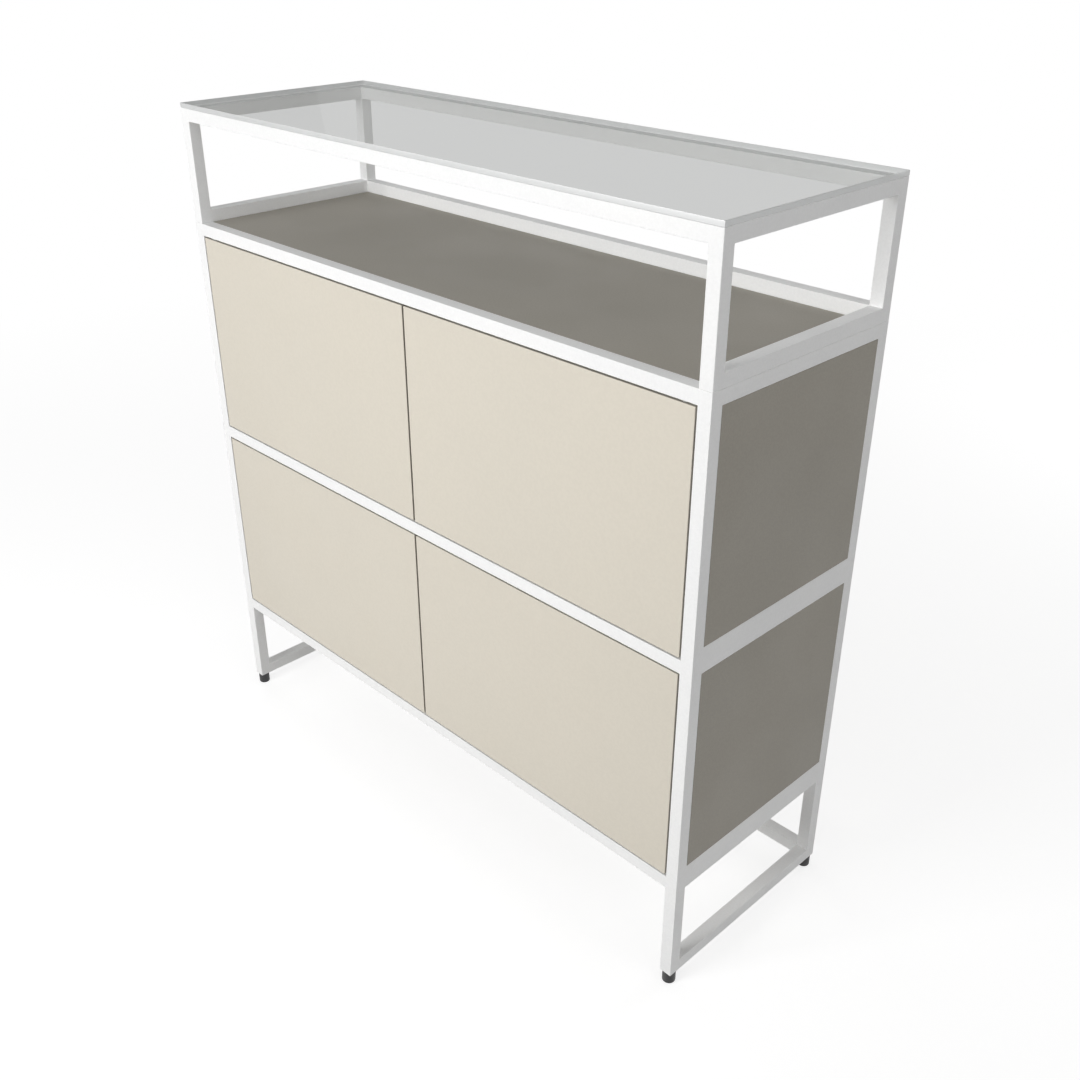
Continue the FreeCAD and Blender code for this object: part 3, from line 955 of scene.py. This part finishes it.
@dataclass
class ScrewTree(RepeatTree):
    """Pan-head screws with a cross recess; a head ends at z = 0 and its shank runs along +Z."""

    name: ClassVar[str] = "cross_recess_screws"
    crown_share: ClassVar[float] = 0.4
    crown_taper: ClassVar[float] = 0.66
    head_faces: ClassVar[int] = 28
    shank_faces: ClassVar[int] = 16
    head_diameter: float = 0.008
    head_height: float = 0.0025
    shank_diameter: float = 0.004
    shank_length: float = 0.016
    recess_width: float = 0.0042
    recess_slot: float = 0.0009
    recess_depth: float = 0.0013

    def form(self, graph: Graph, size: SimpleNamespace) -> Socket:
        """Build one screw: a domed head cut by two crossed slots, and its shank.

        Args:
            graph: the tree's nodes.
            size: the sockets of its named inputs, by their fields.

        Returns:
            The socket of the screw's geometry.
        """
        radius = graph.times(size.head_diameter, 0.5)
        crown = graph.times(size.head_height, self.crown_share)
        skirt = graph.times(size.head_height, 1.0 - self.crown_share)
        top = graph.cone((graph.times(radius, self.crown_taper), radius), crown, 0.0, self.head_faces)
        head = graph.boolean("UNION", (top, graph.cone((radius, radius), skirt, crown, self.head_faces)))
        double_depth = graph.times(size.recess_depth, 2.0)
        widths = (size.recess_width, size.recess_slot)
        slots = []
        for wide, thin in (widths, widths[::-1]):
            span = graph.out("ShaderNodeCombineXYZ", {"X": wide, "Y": thin, "Z": double_depth})
            slots.append(graph.out("GeometryNodeMeshCube", {"Size": span}))
        slim = graph.times(size.shank_diameter, 0.5)
        shank = graph.cone((slim, slim), size.shank_length, size.head_height, self.shank_faces)
        return graph.join(shank, graph.boolean("DIFFERENCE", slots, head))


@dataclass
class LugTree(RepeatTree):
    """Welded tabs; a tab's root is on its rail at y = 0, it reaches along +Y and lies above z = 0."""

    name: ClassVar[str] = "welded_lugs"
    outer_corners: ClassVar[float] = 2.0
    corner_faces: ClassVar[int] = 5
    bead_share: ClassVar[float] = 0.46
    bead_faces: ClassVar[int] = 10
    lug_width: float = 0.03
    lug_reach: float = 0.016
    lug_thickness: float = 0.003
    corner_radius: float = 0.005
    bead_width: float = 0.0022

    def form(self, graph: Graph, size: SimpleNamespace) -> Socket:
        """Build one tab with two rounded corners and the weld along its root.

        Args:
            graph: the tree's nodes.
            size: the sockets of its named inputs, by their fields.

        Returns:
            The socket of the tab's geometry.
        """
        outline = {"Width": size.lug_width, "Height": size.lug_reach}
        sheet = graph.out("GeometryNodeCurvePrimitiveQuadrilateral", outline)
        is_outer = graph.math("LESS_THAN", graph.out("GeometryNodeInputIndex"), self.outer_corners)
        radius = graph.times(is_outer, size.corner_radius)
        rounding = {"Curve": sheet, "Count": self.corner_faces, "Radius": radius, "Limit Radius": True}
        eased = graph.out("GeometryNodeFilletCurve", rounding, mode="POLY")
        flat = graph.out("GeometryNodeFillCurve", {"Curve": eased}, mode="NGONS")
        raised = graph.out("GeometryNodeExtrudeMesh", {"Mesh": flat, "Offset Scale": size.lug_thickness})
        base = graph.out("GeometryNodeFlipFaces", {"Mesh": flat})
        plate = graph.moved(graph.join(raised, base), Y=graph.times(size.lug_reach, 0.5))
        shares = {"Start": -self.bead_share, "End": self.bead_share}
        ends = {}
        for end, share in shares.items():
            ends[end] = graph.out("ShaderNodeCombineXYZ", {"X": graph.times(size.lug_width, share)})
        root = graph.out("GeometryNodeCurvePrimitiveLine", ends)
        return graph.join(plate, graph.rod(root, graph.times(size.bead_width, 0.5), self.bead_faces))


@dataclass
class BushTree(RepeatTree):
    """Flanged bushes; the rail's face is at z = 0, with the flange above and the sleeve below."""

    name: ClassVar[str] = "flanged_bushes"
    ring_faces: ClassVar[int] = 40
    flange_diameter: float = 0.016
    flange_height: float = 0.0012
    sleeve_diameter: float = 0.011
    sleeve_length: float = 0.009
    bore: float = 0.00812

    def form(self, graph: Graph, size: SimpleNamespace) -> Socket:
        """Build one bush from its two rings.

        Args:
            graph: the tree's nodes.
            size: the sockets of its named inputs, by their fields.

        Returns:
            The socket of the bush's geometry.
        """
        high = graph.times(size.flange_height, 0.5)
        deep = graph.times(size.sleeve_length, -0.5)
        flange = self.ring(graph, size.flange_diameter, size.bore, size.flange_height)
        sleeve = self.ring(graph, size.sleeve_diameter, size.bore, size.sleeve_length)
        return graph.join(graph.moved(flange, Z=high), graph.moved(sleeve, Z=deep))

    def ring(self, graph: Graph, outer: Socket, inner: Socket, height: Socket) -> Socket:
        """Build an upright ring with its middle at z = 0.

        Args:
            graph: the tree's nodes.
            outer: the ring's outer diameter.
            inner: the diameter of its hole.
            height: its height.

        Returns:
            The socket of its geometry.
        """
        middle = graph.times(graph.math("ADD", outer, inner), 0.25)
        wall = graph.times(graph.math("SUBTRACT", outer, inner), 0.5)
        circle = {"Resolution": self.ring_faces, "Radius": middle}
        path = graph.out("GeometryNodeCurvePrimitiveCircle", circle)
        section = graph.out("GeometryNodeCurvePrimitiveQuadrilateral", {"Width": wall, "Height": height})
        return graph.out("GeometryNodeCurveToMesh", {"Curve": path, "Profile Curve": section})


@dataclass
class StudTree(RepeatTree):
    """Threaded studs; a stud stands on z = 0 and its thread is a ridge that climbs round it."""

    name: ClassVar[str] = "threaded_studs"
    bare_pitches: ClassVar[float] = 2.0
    core_faces: ClassVar[int] = 32
    turn_faces: ClassVar[int] = 28
    ridge_faces: ClassVar[int] = 4
    thread_diameter: float = 0.008
    stud_length: float = 0.026
    pitch: float = 0.00125
    ridge_height: float = 0.0007

    def form(self, graph: Graph, size: SimpleNamespace) -> Socket:
        """Build one stud: a core with a helical ridge on it.

        Args:
            graph: the tree's nodes.
            size: the sockets of its named inputs, by their fields.

        Returns:
            The socket of the stud's geometry.
        """
        radius = graph.math("SUBTRACT", graph.times(size.thread_diameter, 0.5), size.ridge_height)
        core = graph.cone((radius, radius), size.stud_length, 0.0, self.core_faces)
        climb = graph.math("SUBTRACT", size.stud_length, graph.times(size.pitch, self.bare_pitches))
        helix = graph.out("GeometryNodeCurveSpiral", {
            "Resolution": self.turn_faces,
            "Rotations": graph.math("DIVIDE", climb, size.pitch),
            "Start Radius": radius,
            "End Radius": radius,
            "Height": climb,
        })
        ridge = graph.rod(graph.moved(helix, Z=size.pitch), size.ridge_height, self.ridge_faces)
        return graph.join(core, ridge)


@dataclass(frozen=True)
class Piece:
    """A piece: its name, the CAD body that it moves with, its slot and the CAD nodes that it replaces."""

    name: str
    body: str
    slot: Slot
    nodes: Sequence[str] = ()

    def add(self, mesh: bpy.types.Mesh) -> None:
        """Put the piece's finished mesh on its body.

        Args:
            mesh: the mesh, in place.
        """
        piece = new_object(self.name, mesh)
        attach(piece, self.body)
        if self.nodes:
            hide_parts(*self.nodes)
        count = len(mesh.polygons)
        LOG.info("%s on %s: %d faces, stands for %d nodes", self.name, self.body, count, len(self.nodes))

    def add_copies(self, tree: RepeatTree, places: Sequence[Matrix], finish: Finish) -> None:
        """Add the piece as copies of a tree's form, one at each place."""
        self.add(tree.grow(self.name, places, finish))

    def add_skin(self, skin: Skin, *finishes: Finish, flat: bool = False) -> None:
        """Add the piece as a smooth mesh.

        Args:
            skin: the mesh's skin, which is freed.
            finishes: the finishes of its material slots.
            flat: whether large faces stay flat beside their rounded edges.
        """
        bmesh.ops.recalc_face_normals(skin, faces=skin.faces)
        mesh = bpy.data.meshes.new(self.name)
        skin.to_mesh(mesh)
        skin.free()
        for finish in finishes:
            mesh.materials.append(finish.material())
        shade_smooth(mesh)
        if flat:
            holder = new_object(self.name + "_holder", mesh)
            modifier = holder.modifiers.new("flat_faces", "WEIGHTED_NORMAL")
            modifier.weight = FLAT_FACE_WEIGHT
            modifier.keep_sharp = True
            mesh = settled_mesh(holder, self.name)
        self.add(mesh)


@dataclass
class TubeFrames:
    """The two welded frames of square tube: the lower one with its bays, and the display frame on it."""

    wall: float = 0.0015
    rounding: float = 0.0012
    edge_faces: int = 3
    socket_depth: float = 0.034

    @staticmethod
    def lower_nodes() -> list[str]:
        """Name the tubes of the lower frame.

        Returns:
            Their nodes, posts first.
        """
        posts = [f"{place}_post" for place in POST_PLACES]
        sides = [f"{side}_side_rails" for side in SIDES]
        fronts = [f"front_{level}_rail" for level in ("bottom", "middle", "top")]
        backs = [f"back_{level}_rail" for level in ("floor", "bottom", "middle", "top")]
        return posts + sides + fronts + backs

    @staticmethod
    def display_nodes() -> list[str]:
        """Name the tubes of the display frame.

        Returns:
            Their nodes, posts first.
        """
        posts = [f"display_{place}_post" for place in POST_PLACES]
        rails = [f"display_{side}_rails" for side in SIDES]
        return posts + rails + ["display_front_rail", "display_back_rail", "display_back_sill"]

    def sockets(self) -> list[Box]:
        """Find the hollow ends of the posts that the foot inserts fill.

        Returns:
            The box of each hollow.
        """
        inset = Vector((self.wall, self.wall, 0.0))
        hollows = []
        for place in POST_PLACES:
            post = Box.of_node(f"{place}_post")
            high = post.high - inset
            high.z = post.low.z + self.socket_depth
            hollows.append(Box(post.low + inset, high))
        return hollows

    def build(self) -> None:
        """Weld each frame's tubes into one softly rounded skin."""
        for name, nodes, hollows in (
            ("lower_frame", self.lower_nodes(), self.sockets()),
            ("display_frame", self.display_nodes(), []),
        ):
            skin = welded_skin(boxes_in(nodes), hollows)
            soften(skin, self.rounding, self.edge_faces)
            Piece(name, FIXED, Slot.FRAME, nodes).add_skin(skin, POWDER_COAT, flat=True)


@dataclass
class GlassTop:
    """The glass plate on the display frame, with broken and ground edges."""

    arris: float = 0.0008
    edge_faces: int = 2
    edge_normal: float = 0.9

    def build(self) -> None:
        """Make the plate and give its edges their own finish."""
        skin = soft_block("glass_top", self.arris, self.edge_faces)
        mark_edges(skin, Z_AXIS, self.edge_normal)
        plate = Piece("glass_plate", FIXED, Slot.GLASS, ["glass_top"])
        plate.add_skin(skin, PLATE_GLASS, GLASS_EDGE, flat=True)


@dataclass
class InfillBoards:
    """The boards that close the bays at the top, bottom, sides and back."""

    rounding: float = 0.0005
    edge_faces: int = 2

    @staticmethod
    def nodes() -> dict[str, str]:
        """Name the boards.

        Returns:
            The name of the piece that stands for each board, by the board's node.
        """
        level = [f"{name}_panel" for name in ("top", "middle", "bottom")]
        upright = [f"{place}_{row}_panel" for place in (*SIDES, "back") for row in ROWS]
        return {node: node.replace("_panel", "_board") for node in level + upright}

    def build(self) -> None:
        """Make each board with eased edges."""
        for node, name in self.nodes().items():
            skin = soft_block(node, self.rounding, self.edge_faces)
            Piece(name, FIXED, Slot.BOARD, [node]).add_skin(skin, BOARD_FOIL, flat=True)


@dataclass
class BoardFixings:
    """The lugs welded to the rails and the screws that hold the boards and the latches."""

    seed: int = 7

    def lug_places(self) -> list[Matrix]:
        """Work out where the lugs are from the rail and the board that each touches.

        Returns:
            The place of every lug.
        """
        tubes = boxes_in(TubeFrames.lower_nodes())
        boards = [Box.of_node(node) for node in InfillBoards.nodes()]
        places = []
        for box in boxes_in(["panel_lugs"]):
            size = box.size
            thin, short = sorted(range(3), key=lambda axis: size[axis])[:2]
            board_side = self.touched(box, thin, boards)
            reach = -self.touched(box, short, tubes)
            root = box.centre - board_side * (size[thin] / 2) - reach * (size[short] / 2)
            turn = Matrix((reach.cross(board_side), reach, board_side)).transposed().to_4x4()
            places.append(Matrix.Translation(root) @ turn)
        return places

    @staticmethod
    def touched(box: Box, axis: int, others: Sequence[Box]) -> Vector:
        """Find the side on which a block touches another.

        Args:
            box: the block.
            axis: the number of the axis to look along.
            others: the blocks that it may touch.

        Returns:
            The direction along the axis in which it touches one of them.
        """
        for sign in (1.0, -1.0):
            direction = unit(axis, sign)
            point = box.centre + direction * (box.size[axis] / 2)
            if any(other.holds(point) for other in others):
                return direction
        raise RuntimeError("a lug touches neither a rail nor a board")

    def screw_places(self) -> list[Matrix]:
        """Work out where the screws are, and turn each at random about itself.

        Returns:
            The place of every screw.
        """
        spin = np.random.default_rng(self.seed)
        places = []
        for points in solids_in("panel_screws"):
            size = Box.round_points(points).size
            face, direction = wide_end(points, max(range(3), key=lambda axis: size[axis]))
            own = Matrix.Rotation(float(spin.uniform(0.0, math.pi)), 4, "Z")
            places.append(place_along(face, direction) @ own)
        return places

    def build(self) -> None:
        """Make the lugs and the screws."""
        lugs = Piece("board_lugs", FIXED, Slot.FRAME, ["panel_lugs"])
        lugs.add_copies(LugTree(), self.lug_places(), POWDER_COAT)
        screws = Piece("board_screws", FIXED, Slot.ZINC, ["panel_screws"])
        screws.add_copies(ScrewTree(), self.screw_places(), ZINC_STEEL)


@dataclass
class Doors:
    """The four doors, with edge faces painted darker as shade in the seams, their pivot pins, and the
    bushes that they turn in.
    """

    rounding: float = 0.001
    edge_faces: int = 4
    edge_normal: float = 0.1
    pin_radius: float = 0.004
    pin_reach: float = 0.011
    pin_seat: float = 0.02
    pin_point: float = 0.0008
    collar_radius: float = 0.007
    collar_height: float = 0.0016
    collar_edge: float = 0.0003

    def pin_profile(self) -> Profile:
        """Work out a pin's profile, with the door's edge at height 0 and the pin's seat above it.

        Returns:
            The profile's points, from the pin's tip to its seat.
        """
        return [
            (0.0, -self.pin_reach),
            (self.pin_radius - self.pin_point, -self.pin_reach),
            (self.pin_radius, -self.pin_reach + self.pin_point),
            (self.pin_radius, -self.collar_height),
            (self.collar_radius - self.collar_edge, -self.collar_height),
            (self.collar_radius, -self.collar_height + self.collar_edge),
            (self.collar_radius, 0.0),
            (self.pin_radius, 0.0),
            (self.pin_radius, self.pin_seat),
            (0.0, self.pin_seat),
        ]

    def build(self) -> None:
        """Make each door with its pins, then the bushes."""
        for place in DOOR_PLACES:
            self.build_door(f"{place}_door")
        places = []
        for points in solids_in("pivot_bushes"):
            face, inwards = wide_end(points, Z_AXIS)
            places.append(place_along(face + inwards * BushTree.flange_height, -inwards))
        bushes = Piece("door_bushes", FIXED, Slot.FITTING, ["pivot_bushes"])
        bushes.add_copies(BushTree(), places, FITTING_PLASTIC)

    def build_door(self, body: str) -> None:
        """Make one door, with its edge faces painted darker as shade in the seams, and its two pins.

        Args:
            body: the door's body, which is also its node.
        """
        skin = soft_block(body, self.rounding, self.edge_faces)
        # The edge faces take the darker finish: painted shade for the seams between the doors.
        mark_edges(skin, Y_AXIS, self.edge_normal)
        Piece(f"{body}_leaf", body, Slot.DOOR, [body]).add_skin(skin, DOOR_LACQUER, DOOR_EDGE_SEAM_SHADE, flat=True)
        leaf = Box.of_node(body)
        pins_node = f"{body}_pins"
        axis = Box.of_node(pins_node).centre
        low = Matrix.Translation((axis.x, axis.y, leaf.low.z))
        high = Matrix.Translation((axis.x, axis.y, leaf.high.z)) @ Matrix.Rotation(math.pi, 4, "X")
        pins = bmesh.new()
        for place in (low, high):
            turn_profile(pins, self.pin_profile(), place)
        Piece(f"{body}_pivots", body, Slot.ZINC, [pins_node]).add_skin(pins, ZINC_STEEL)


@dataclass
class PushLatches:
    """The latch housings under the boards, their plungers, and the strikes on the doors."""

    case_width: float = 0.016
    wing_height: float = 0.003
    rounding: float = 0.0006
    edge_faces: int = 2
    gusset_reach: float = 0.006
    gusset_width: float = 0.002
    gusset_drop: float = 0.012
    gusset_inset: float = 0.008
    collar_radius: float = 0.0062
    collar_bore: float = 0.0042
    collar_height: float = 0.0012
    shaft_radius: float = 0.004
    tip_radius: float = 0.0055
    tip_length: float = 0.003
    tip_rounding: float = 0.0008
    strike_edge: float = 0.0004
    strike_faces: int = 48
    dimple_radius: float = 0.0032
    dimple_floor: float = 0.00128
    dimple_depth: float = 0.0006

    def build(self) -> None:
        """Make the housings, then a plunger and a strike for each door."""
        self.build_cases()
        for place in DOOR_PLACES:
            self.build_plunger(f"{place}_plunger")
            self.build_strike(f"{place}_door", f"{place}_strike")

    def build_cases(self) -> None:
        """Make the four housings with their wings, gussets and mouth collars."""
        cases = bmesh.new()
        cases.faces.layers.float.new(RIM)
        bores = [Box.of_node(f"{place}_plunger").centre for place in DOOR_PLACES]
        for box in boxes_in(["latch_bodies"]):
            case = welded_skin(self.case_blocks(box))
            soften(case, self.rounding, self.edge_faces)
            bore = min(bores, key=lambda point: (point - box.centre).length)
            ring = [(self.collar_bore, 0.0), (self.collar_radius, 0.0)]
            ring += [(self.collar_radius, self.collar_height), (self.collar_bore, self.collar_height)]
            mouth = Matrix.Translation((bore.x, box.low.y - self.collar_height, bore.z)) @ ALONG_Y
            turn_profile(case, ring, mouth, closed=True)
            part = bpy.data.meshes.new("latch_case")
            case.to_mesh(part)
            case.free()
            cases.from_mesh(part)
            bpy.data.meshes.remove(part)
        Piece("latch_housings", FIXED, Slot.FITTING, ["latch_bodies"]).add_skin(cases, FITTING_PLASTIC)

    def case_blocks(self, box: Box) -> list[Box]:
        """Work out the blocks of one housing.

        Args:
            box: the housing's whole box.

        Returns:
            Its case, its wings and the gussets between them.
        """
        half = self.case_width / 2
        low, high, middle = box.low, box.high, box.centre.x
        under = high.z - self.wing_height
        blocks = [
            Box(Vector((middle - half, low.y, low.z)), Vector((middle + half, high.y, high.z))),
            Box(Vector((low.x, low.y, under)), high),
        ]
        for start in (low.y + self.gusset_inset, high.y - self.gusset_inset - self.gusset_width):
            foot = Vector((middle - half - self.gusset_reach, start, under - self.gusset_drop))
            head = Vector((middle + half + self.gusset_reach, start + self.gusset_width, under))
            blocks.append(Box(foot, head))
        return blocks

    def build_plunger(self, body: str) -> None:
        """Make one plunger with its soft tip.

        Args:
            body: the plunger's body, which is also its node.
        """
        box = Box.of_node(body)
        front = Matrix.Translation((box.centre.x, box.low.y, box.centre.z)) @ ALONG_Y
        skin = bmesh.new()
        tip = rounded_corner(self.tip_radius, 0.0, self.tip_rounding, True)
        tip += [(self.tip_radius, self.tip_length), (self.shaft_radius, self.tip_length)]
        turn_profile(skin, [(0.0, 0.0), *tip, (0.0, self.tip_length)], front)
        for face in skin.faces:
            face.material_index = 1
        shaft = [(0.0, self.tip_length), (self.shaft_radius, self.tip_length)]
        shaft += [(self.shaft_radius, box.size.y), (0.0, box.size.y)]
        turn_profile(skin, shaft, front)
        Piece(f"{body}_rod", body, Slot.FITTING, [body]).add_skin(skin, FITTING_PLASTIC, BUFFER_RUBBER)

    def build_strike(self, body: str, node: str) -> None:
        """Make the strike of one door.

        Args:
            body: the door's body.
            node: the strike's node.
        """
        box = Box.of_node(node)
        back = Matrix.Translation((box.centre.x, box.low.y, box.centre.z)) @ ALONG_Y
        radius, height = box.size.x / 2, box.size.y
        floor = height - self.dimple_depth
        profile = [(0.0, 0.0), (radius, 0.0)]
        profile += rounded_corner(radius, height, self.strike_edge, False)
        profile += [(self.dimple_radius, height), (self.dimple_floor, floor), (0.0, floor)]
        skin = bmesh.new()
        turn_profile(skin, profile, back, self.strike_faces)
        Piece(f"{node}_plate", body, Slot.ZINC, [node]).add_skin(skin, ZINC_STEEL)


@dataclass
class LevellingFeet:
    """The four round feet with their threaded studs, and the plugs hidden in the posts."""

    rounding: float = 0.002
    rounding_faces: int = 6
    top_edge: float = 0.0004
    side_faces: int = 64

    def build(self) -> None:
        """Make each foot and stud, and dress the plugs."""
        for place in POST_PLACES:
            self.build_foot(f"{place}_foot")
        for node in ("leg_inserts", "post_joiners"):
            dress_node(node, FITTING_PLASTIC)

    def build_foot(self, body: str) -> None:
        """Make one foot and its stud.

        Args:
            body: the foot's body, which is also its node.
        """
        box = Box.of_node(body)
        radius = box.size.x / 2
        height = box.size.z - StudTree.stud_length
        profile = [(0.0, 0.0), *rounded_corner(radius, 0.0, self.rounding, True, self.rounding_faces)]
        profile += [(radius, height - self.top_edge), (radius - self.top_edge, height), (0.0, height)]
        floor = Matrix.Translation((box.centre.x, box.centre.y, box.low.z))
        skin = bmesh.new()
        turn_profile(skin, profile, floor, self.side_faces)
        Piece(f"{body}_pad", body, Slot.FOOT, [body]).add_skin(skin, FOOT_PLASTIC)
        pad_top = floor @ Matrix.Translation((0.0, 0.0, height))
        Piece(f"{body}_stud", body, Slot.ZINC).add_copies(StudTree(), [pad_top], ZINC_STEEL)


@dataclass(frozen=True)
class Lamp:
    """A soft square lamp that looks at a point, with its power in watts; the glass plate may mirror it."""

    name: str
    place: Point
    target: Point
    width: float
    power: float
    mirrored: bool = True

    def hang(self) -> None:
        """Put the lamp in the scene, out of the camera's sight."""
        data = bpy.data.lights.new(self.name, "AREA")
        data.shape = "SQUARE"
        data.size = self.width
        data.energy = self.power
        lamp = new_object(self.name, data)
        lamp.location = self.place
        gaze = Vector(self.target) - Vector(self.place)
        lamp.rotation_euler = gaze.to_track_quat("-Z", "Y").to_euler()
        lamp.visible_camera = False
        lamp.visible_glossy = self.mirrored


@dataclass
class Studio:
    """The floor, the white surroundings, the lamps and the camera.

    Angles are in degrees, and the lens and its sensor are in millimetres.
    """

    lamps: tuple[Lamp, ...] = (
        Lamp("front_lamp", (-0.45, -3.2, 1.7), (0.0, 0.0, 0.8), width=1.4, power=71.0),
        Lamp("right_lamp", (3.2, -0.6, 2.2), (0.0, 0.0, 0.6), width=2.0, power=18.5),
        Lamp("high_lamp", (0.75, -1.0, 2.4), (0.0, 0.0, 0.9), width=1.0, power=4.0),
        Lamp("back_lamp", (0.6, 3.4, 1.8), (0.0, 0.0, 0.7), width=2.2, power=38.0, mirrored=False),
        Lamp("left_lamp", (-3.2, 0.8, 2.0), (0.0, 0.0, 0.7), width=2.0, power=18.0, mirrored=False),
    )
    ambient: float = 0.16
    through_glass: float = 0.67
    floor_reach: float = 60.0
    floor_albedo: float = 0.8
    floor_catch: float = 0.4
    floor_glow: float = 0.74
    shadow_near: float = 1.7
    shadow_far: float = 3.6
    camera_place: Point = (1.424482, -1.304442, 1.55838)
    camera_tilt: float = 61.5492
    camera_heading: float = 45.46909
    lens: float = 40.008
    sensor: float = 36.0

    def build(self) -> None:
        """Set up everything round the object."""
        bpy.context.scene.view_settings.view_transform = "Standard"
        self.build_world()
        self.build_floor()
        for lamp in self.lamps:
            lamp.hang()
        self.build_camera()

    @staticmethod
    def seen(graph: Graph) -> tuple[Socket, Socket]:
        """Tell the rays that show the surroundings from those that light the object.

        Args:
            graph: the nodes of the world or the floor.

        Returns:
            Whether a ray shows the surroundings, and whether it has come through the glass plate.
        """
        path = graph.add("ShaderNodeLightPath").outputs
        shown = graph.math("MAXIMUM", path["Is Camera Ray"], path["Is Glossy Ray"])
        shown = graph.math("MAXIMUM", shown, path["Is Transmission Ray"])
        return shown, graph.math("GREATER_THAN", path["Transparent Depth"], 0.0)

    def build_world(self) -> None:
        """Make the surroundings white to the eye and an even soft light to the object."""
        world = bpy.data.worlds.new("studio")
        bpy.context.scene.world = world
        graph = Graph.emptied(world)
        shown, glazed = self.seen(graph)
        sight = graph.spread(glazed, 1.0, self.through_glass, 0.0, 1.0)
        light = graph.times(graph.math("SUBTRACT", 1.0, shown), self.ambient)
        strength = graph.math("ADD", light, graph.times(shown, sight))
        ground = graph.out("ShaderNodeBackground", {"Color": solid_colour(WHITE), "Strength": strength})
        graph.add("ShaderNodeOutputWorld", {"Surface": ground})

    def build_floor(self) -> None:
        """Make a pale floor that fades into the white surroundings and keeps the object's shadow."""
        reach = self.floor_reach
        mesh = bpy.data.meshes.new("studio_floor")
        corners = [(-reach, -reach, 0.0), (reach, -reach, 0.0), (reach, reach, 0.0), (-reach, reach, 0.0)]
        mesh.from_pydata(corners, [], [(0, 1, 2, 3)])
        material = bpy.data.materials.new("pale_floor")
        graph = Graph.emptied(material)
        shown, glazed = self.seen(graph)
        away = graph.add("ShaderNodeVectorMath", {0: graph.place()}, operation="LENGTH").outputs["Value"]
        far = graph.spread(away, 0.0, 1.0, self.shadow_near, self.shadow_far)
        pale = graph.out("ShaderNodeBsdfDiffuse", {"Color": solid_colour((self.floor_albedo,) * 3)})
        catch = graph.out("ShaderNodeBsdfDiffuse", {"Color": solid_colour((self.floor_catch,) * 3)})
        glow = graph.out("ShaderNodeEmission", {"Strength": self.floor_glow})
        near = graph.out("ShaderNodeAddShader", {0: catch, 1: glow})
        white = graph.out("ShaderNodeEmission", {"Strength": 1.0})
        dimmed = graph.out("ShaderNodeEmission", {"Strength": self.through_glass})
        view = graph.mix(glazed, graph.mix(far, near, white), dimmed)
        graph.add("ShaderNodeOutputMaterial", {"Surface": graph.mix(shown, pale, view)})
        mesh.materials.append(material)
        new_object("studio_floor", mesh)

    def build_camera(self) -> None:
        """Stand the camera where the photograph was taken from."""
        data = bpy.data.cameras.new("photo_camera")
        data.sensor_width = self.sensor
        data.lens = self.lens
        camera = new_object("photo_camera", data)
        camera.location = self.camera_place
        camera.rotation_euler = (math.radians(self.camera_tilt), 0.0, math.radians(self.camera_heading))
        bpy.context.scene.camera = camera


def main() -> None:
    """Build the sub-assemblies in order, then what stands round them."""
    logging.basicConfig(level=logging.INFO, format="%(name)s: %(message)s")
    for kind in (TubeFrames, GlassTop, InfillBoards, BoardFixings, Doors, PushLatches, LevellingFeet):
        LOG.info("building %s", kind.__name__)
        kind().build()
    Studio().build()


if __name__ == "__main__":
    main()
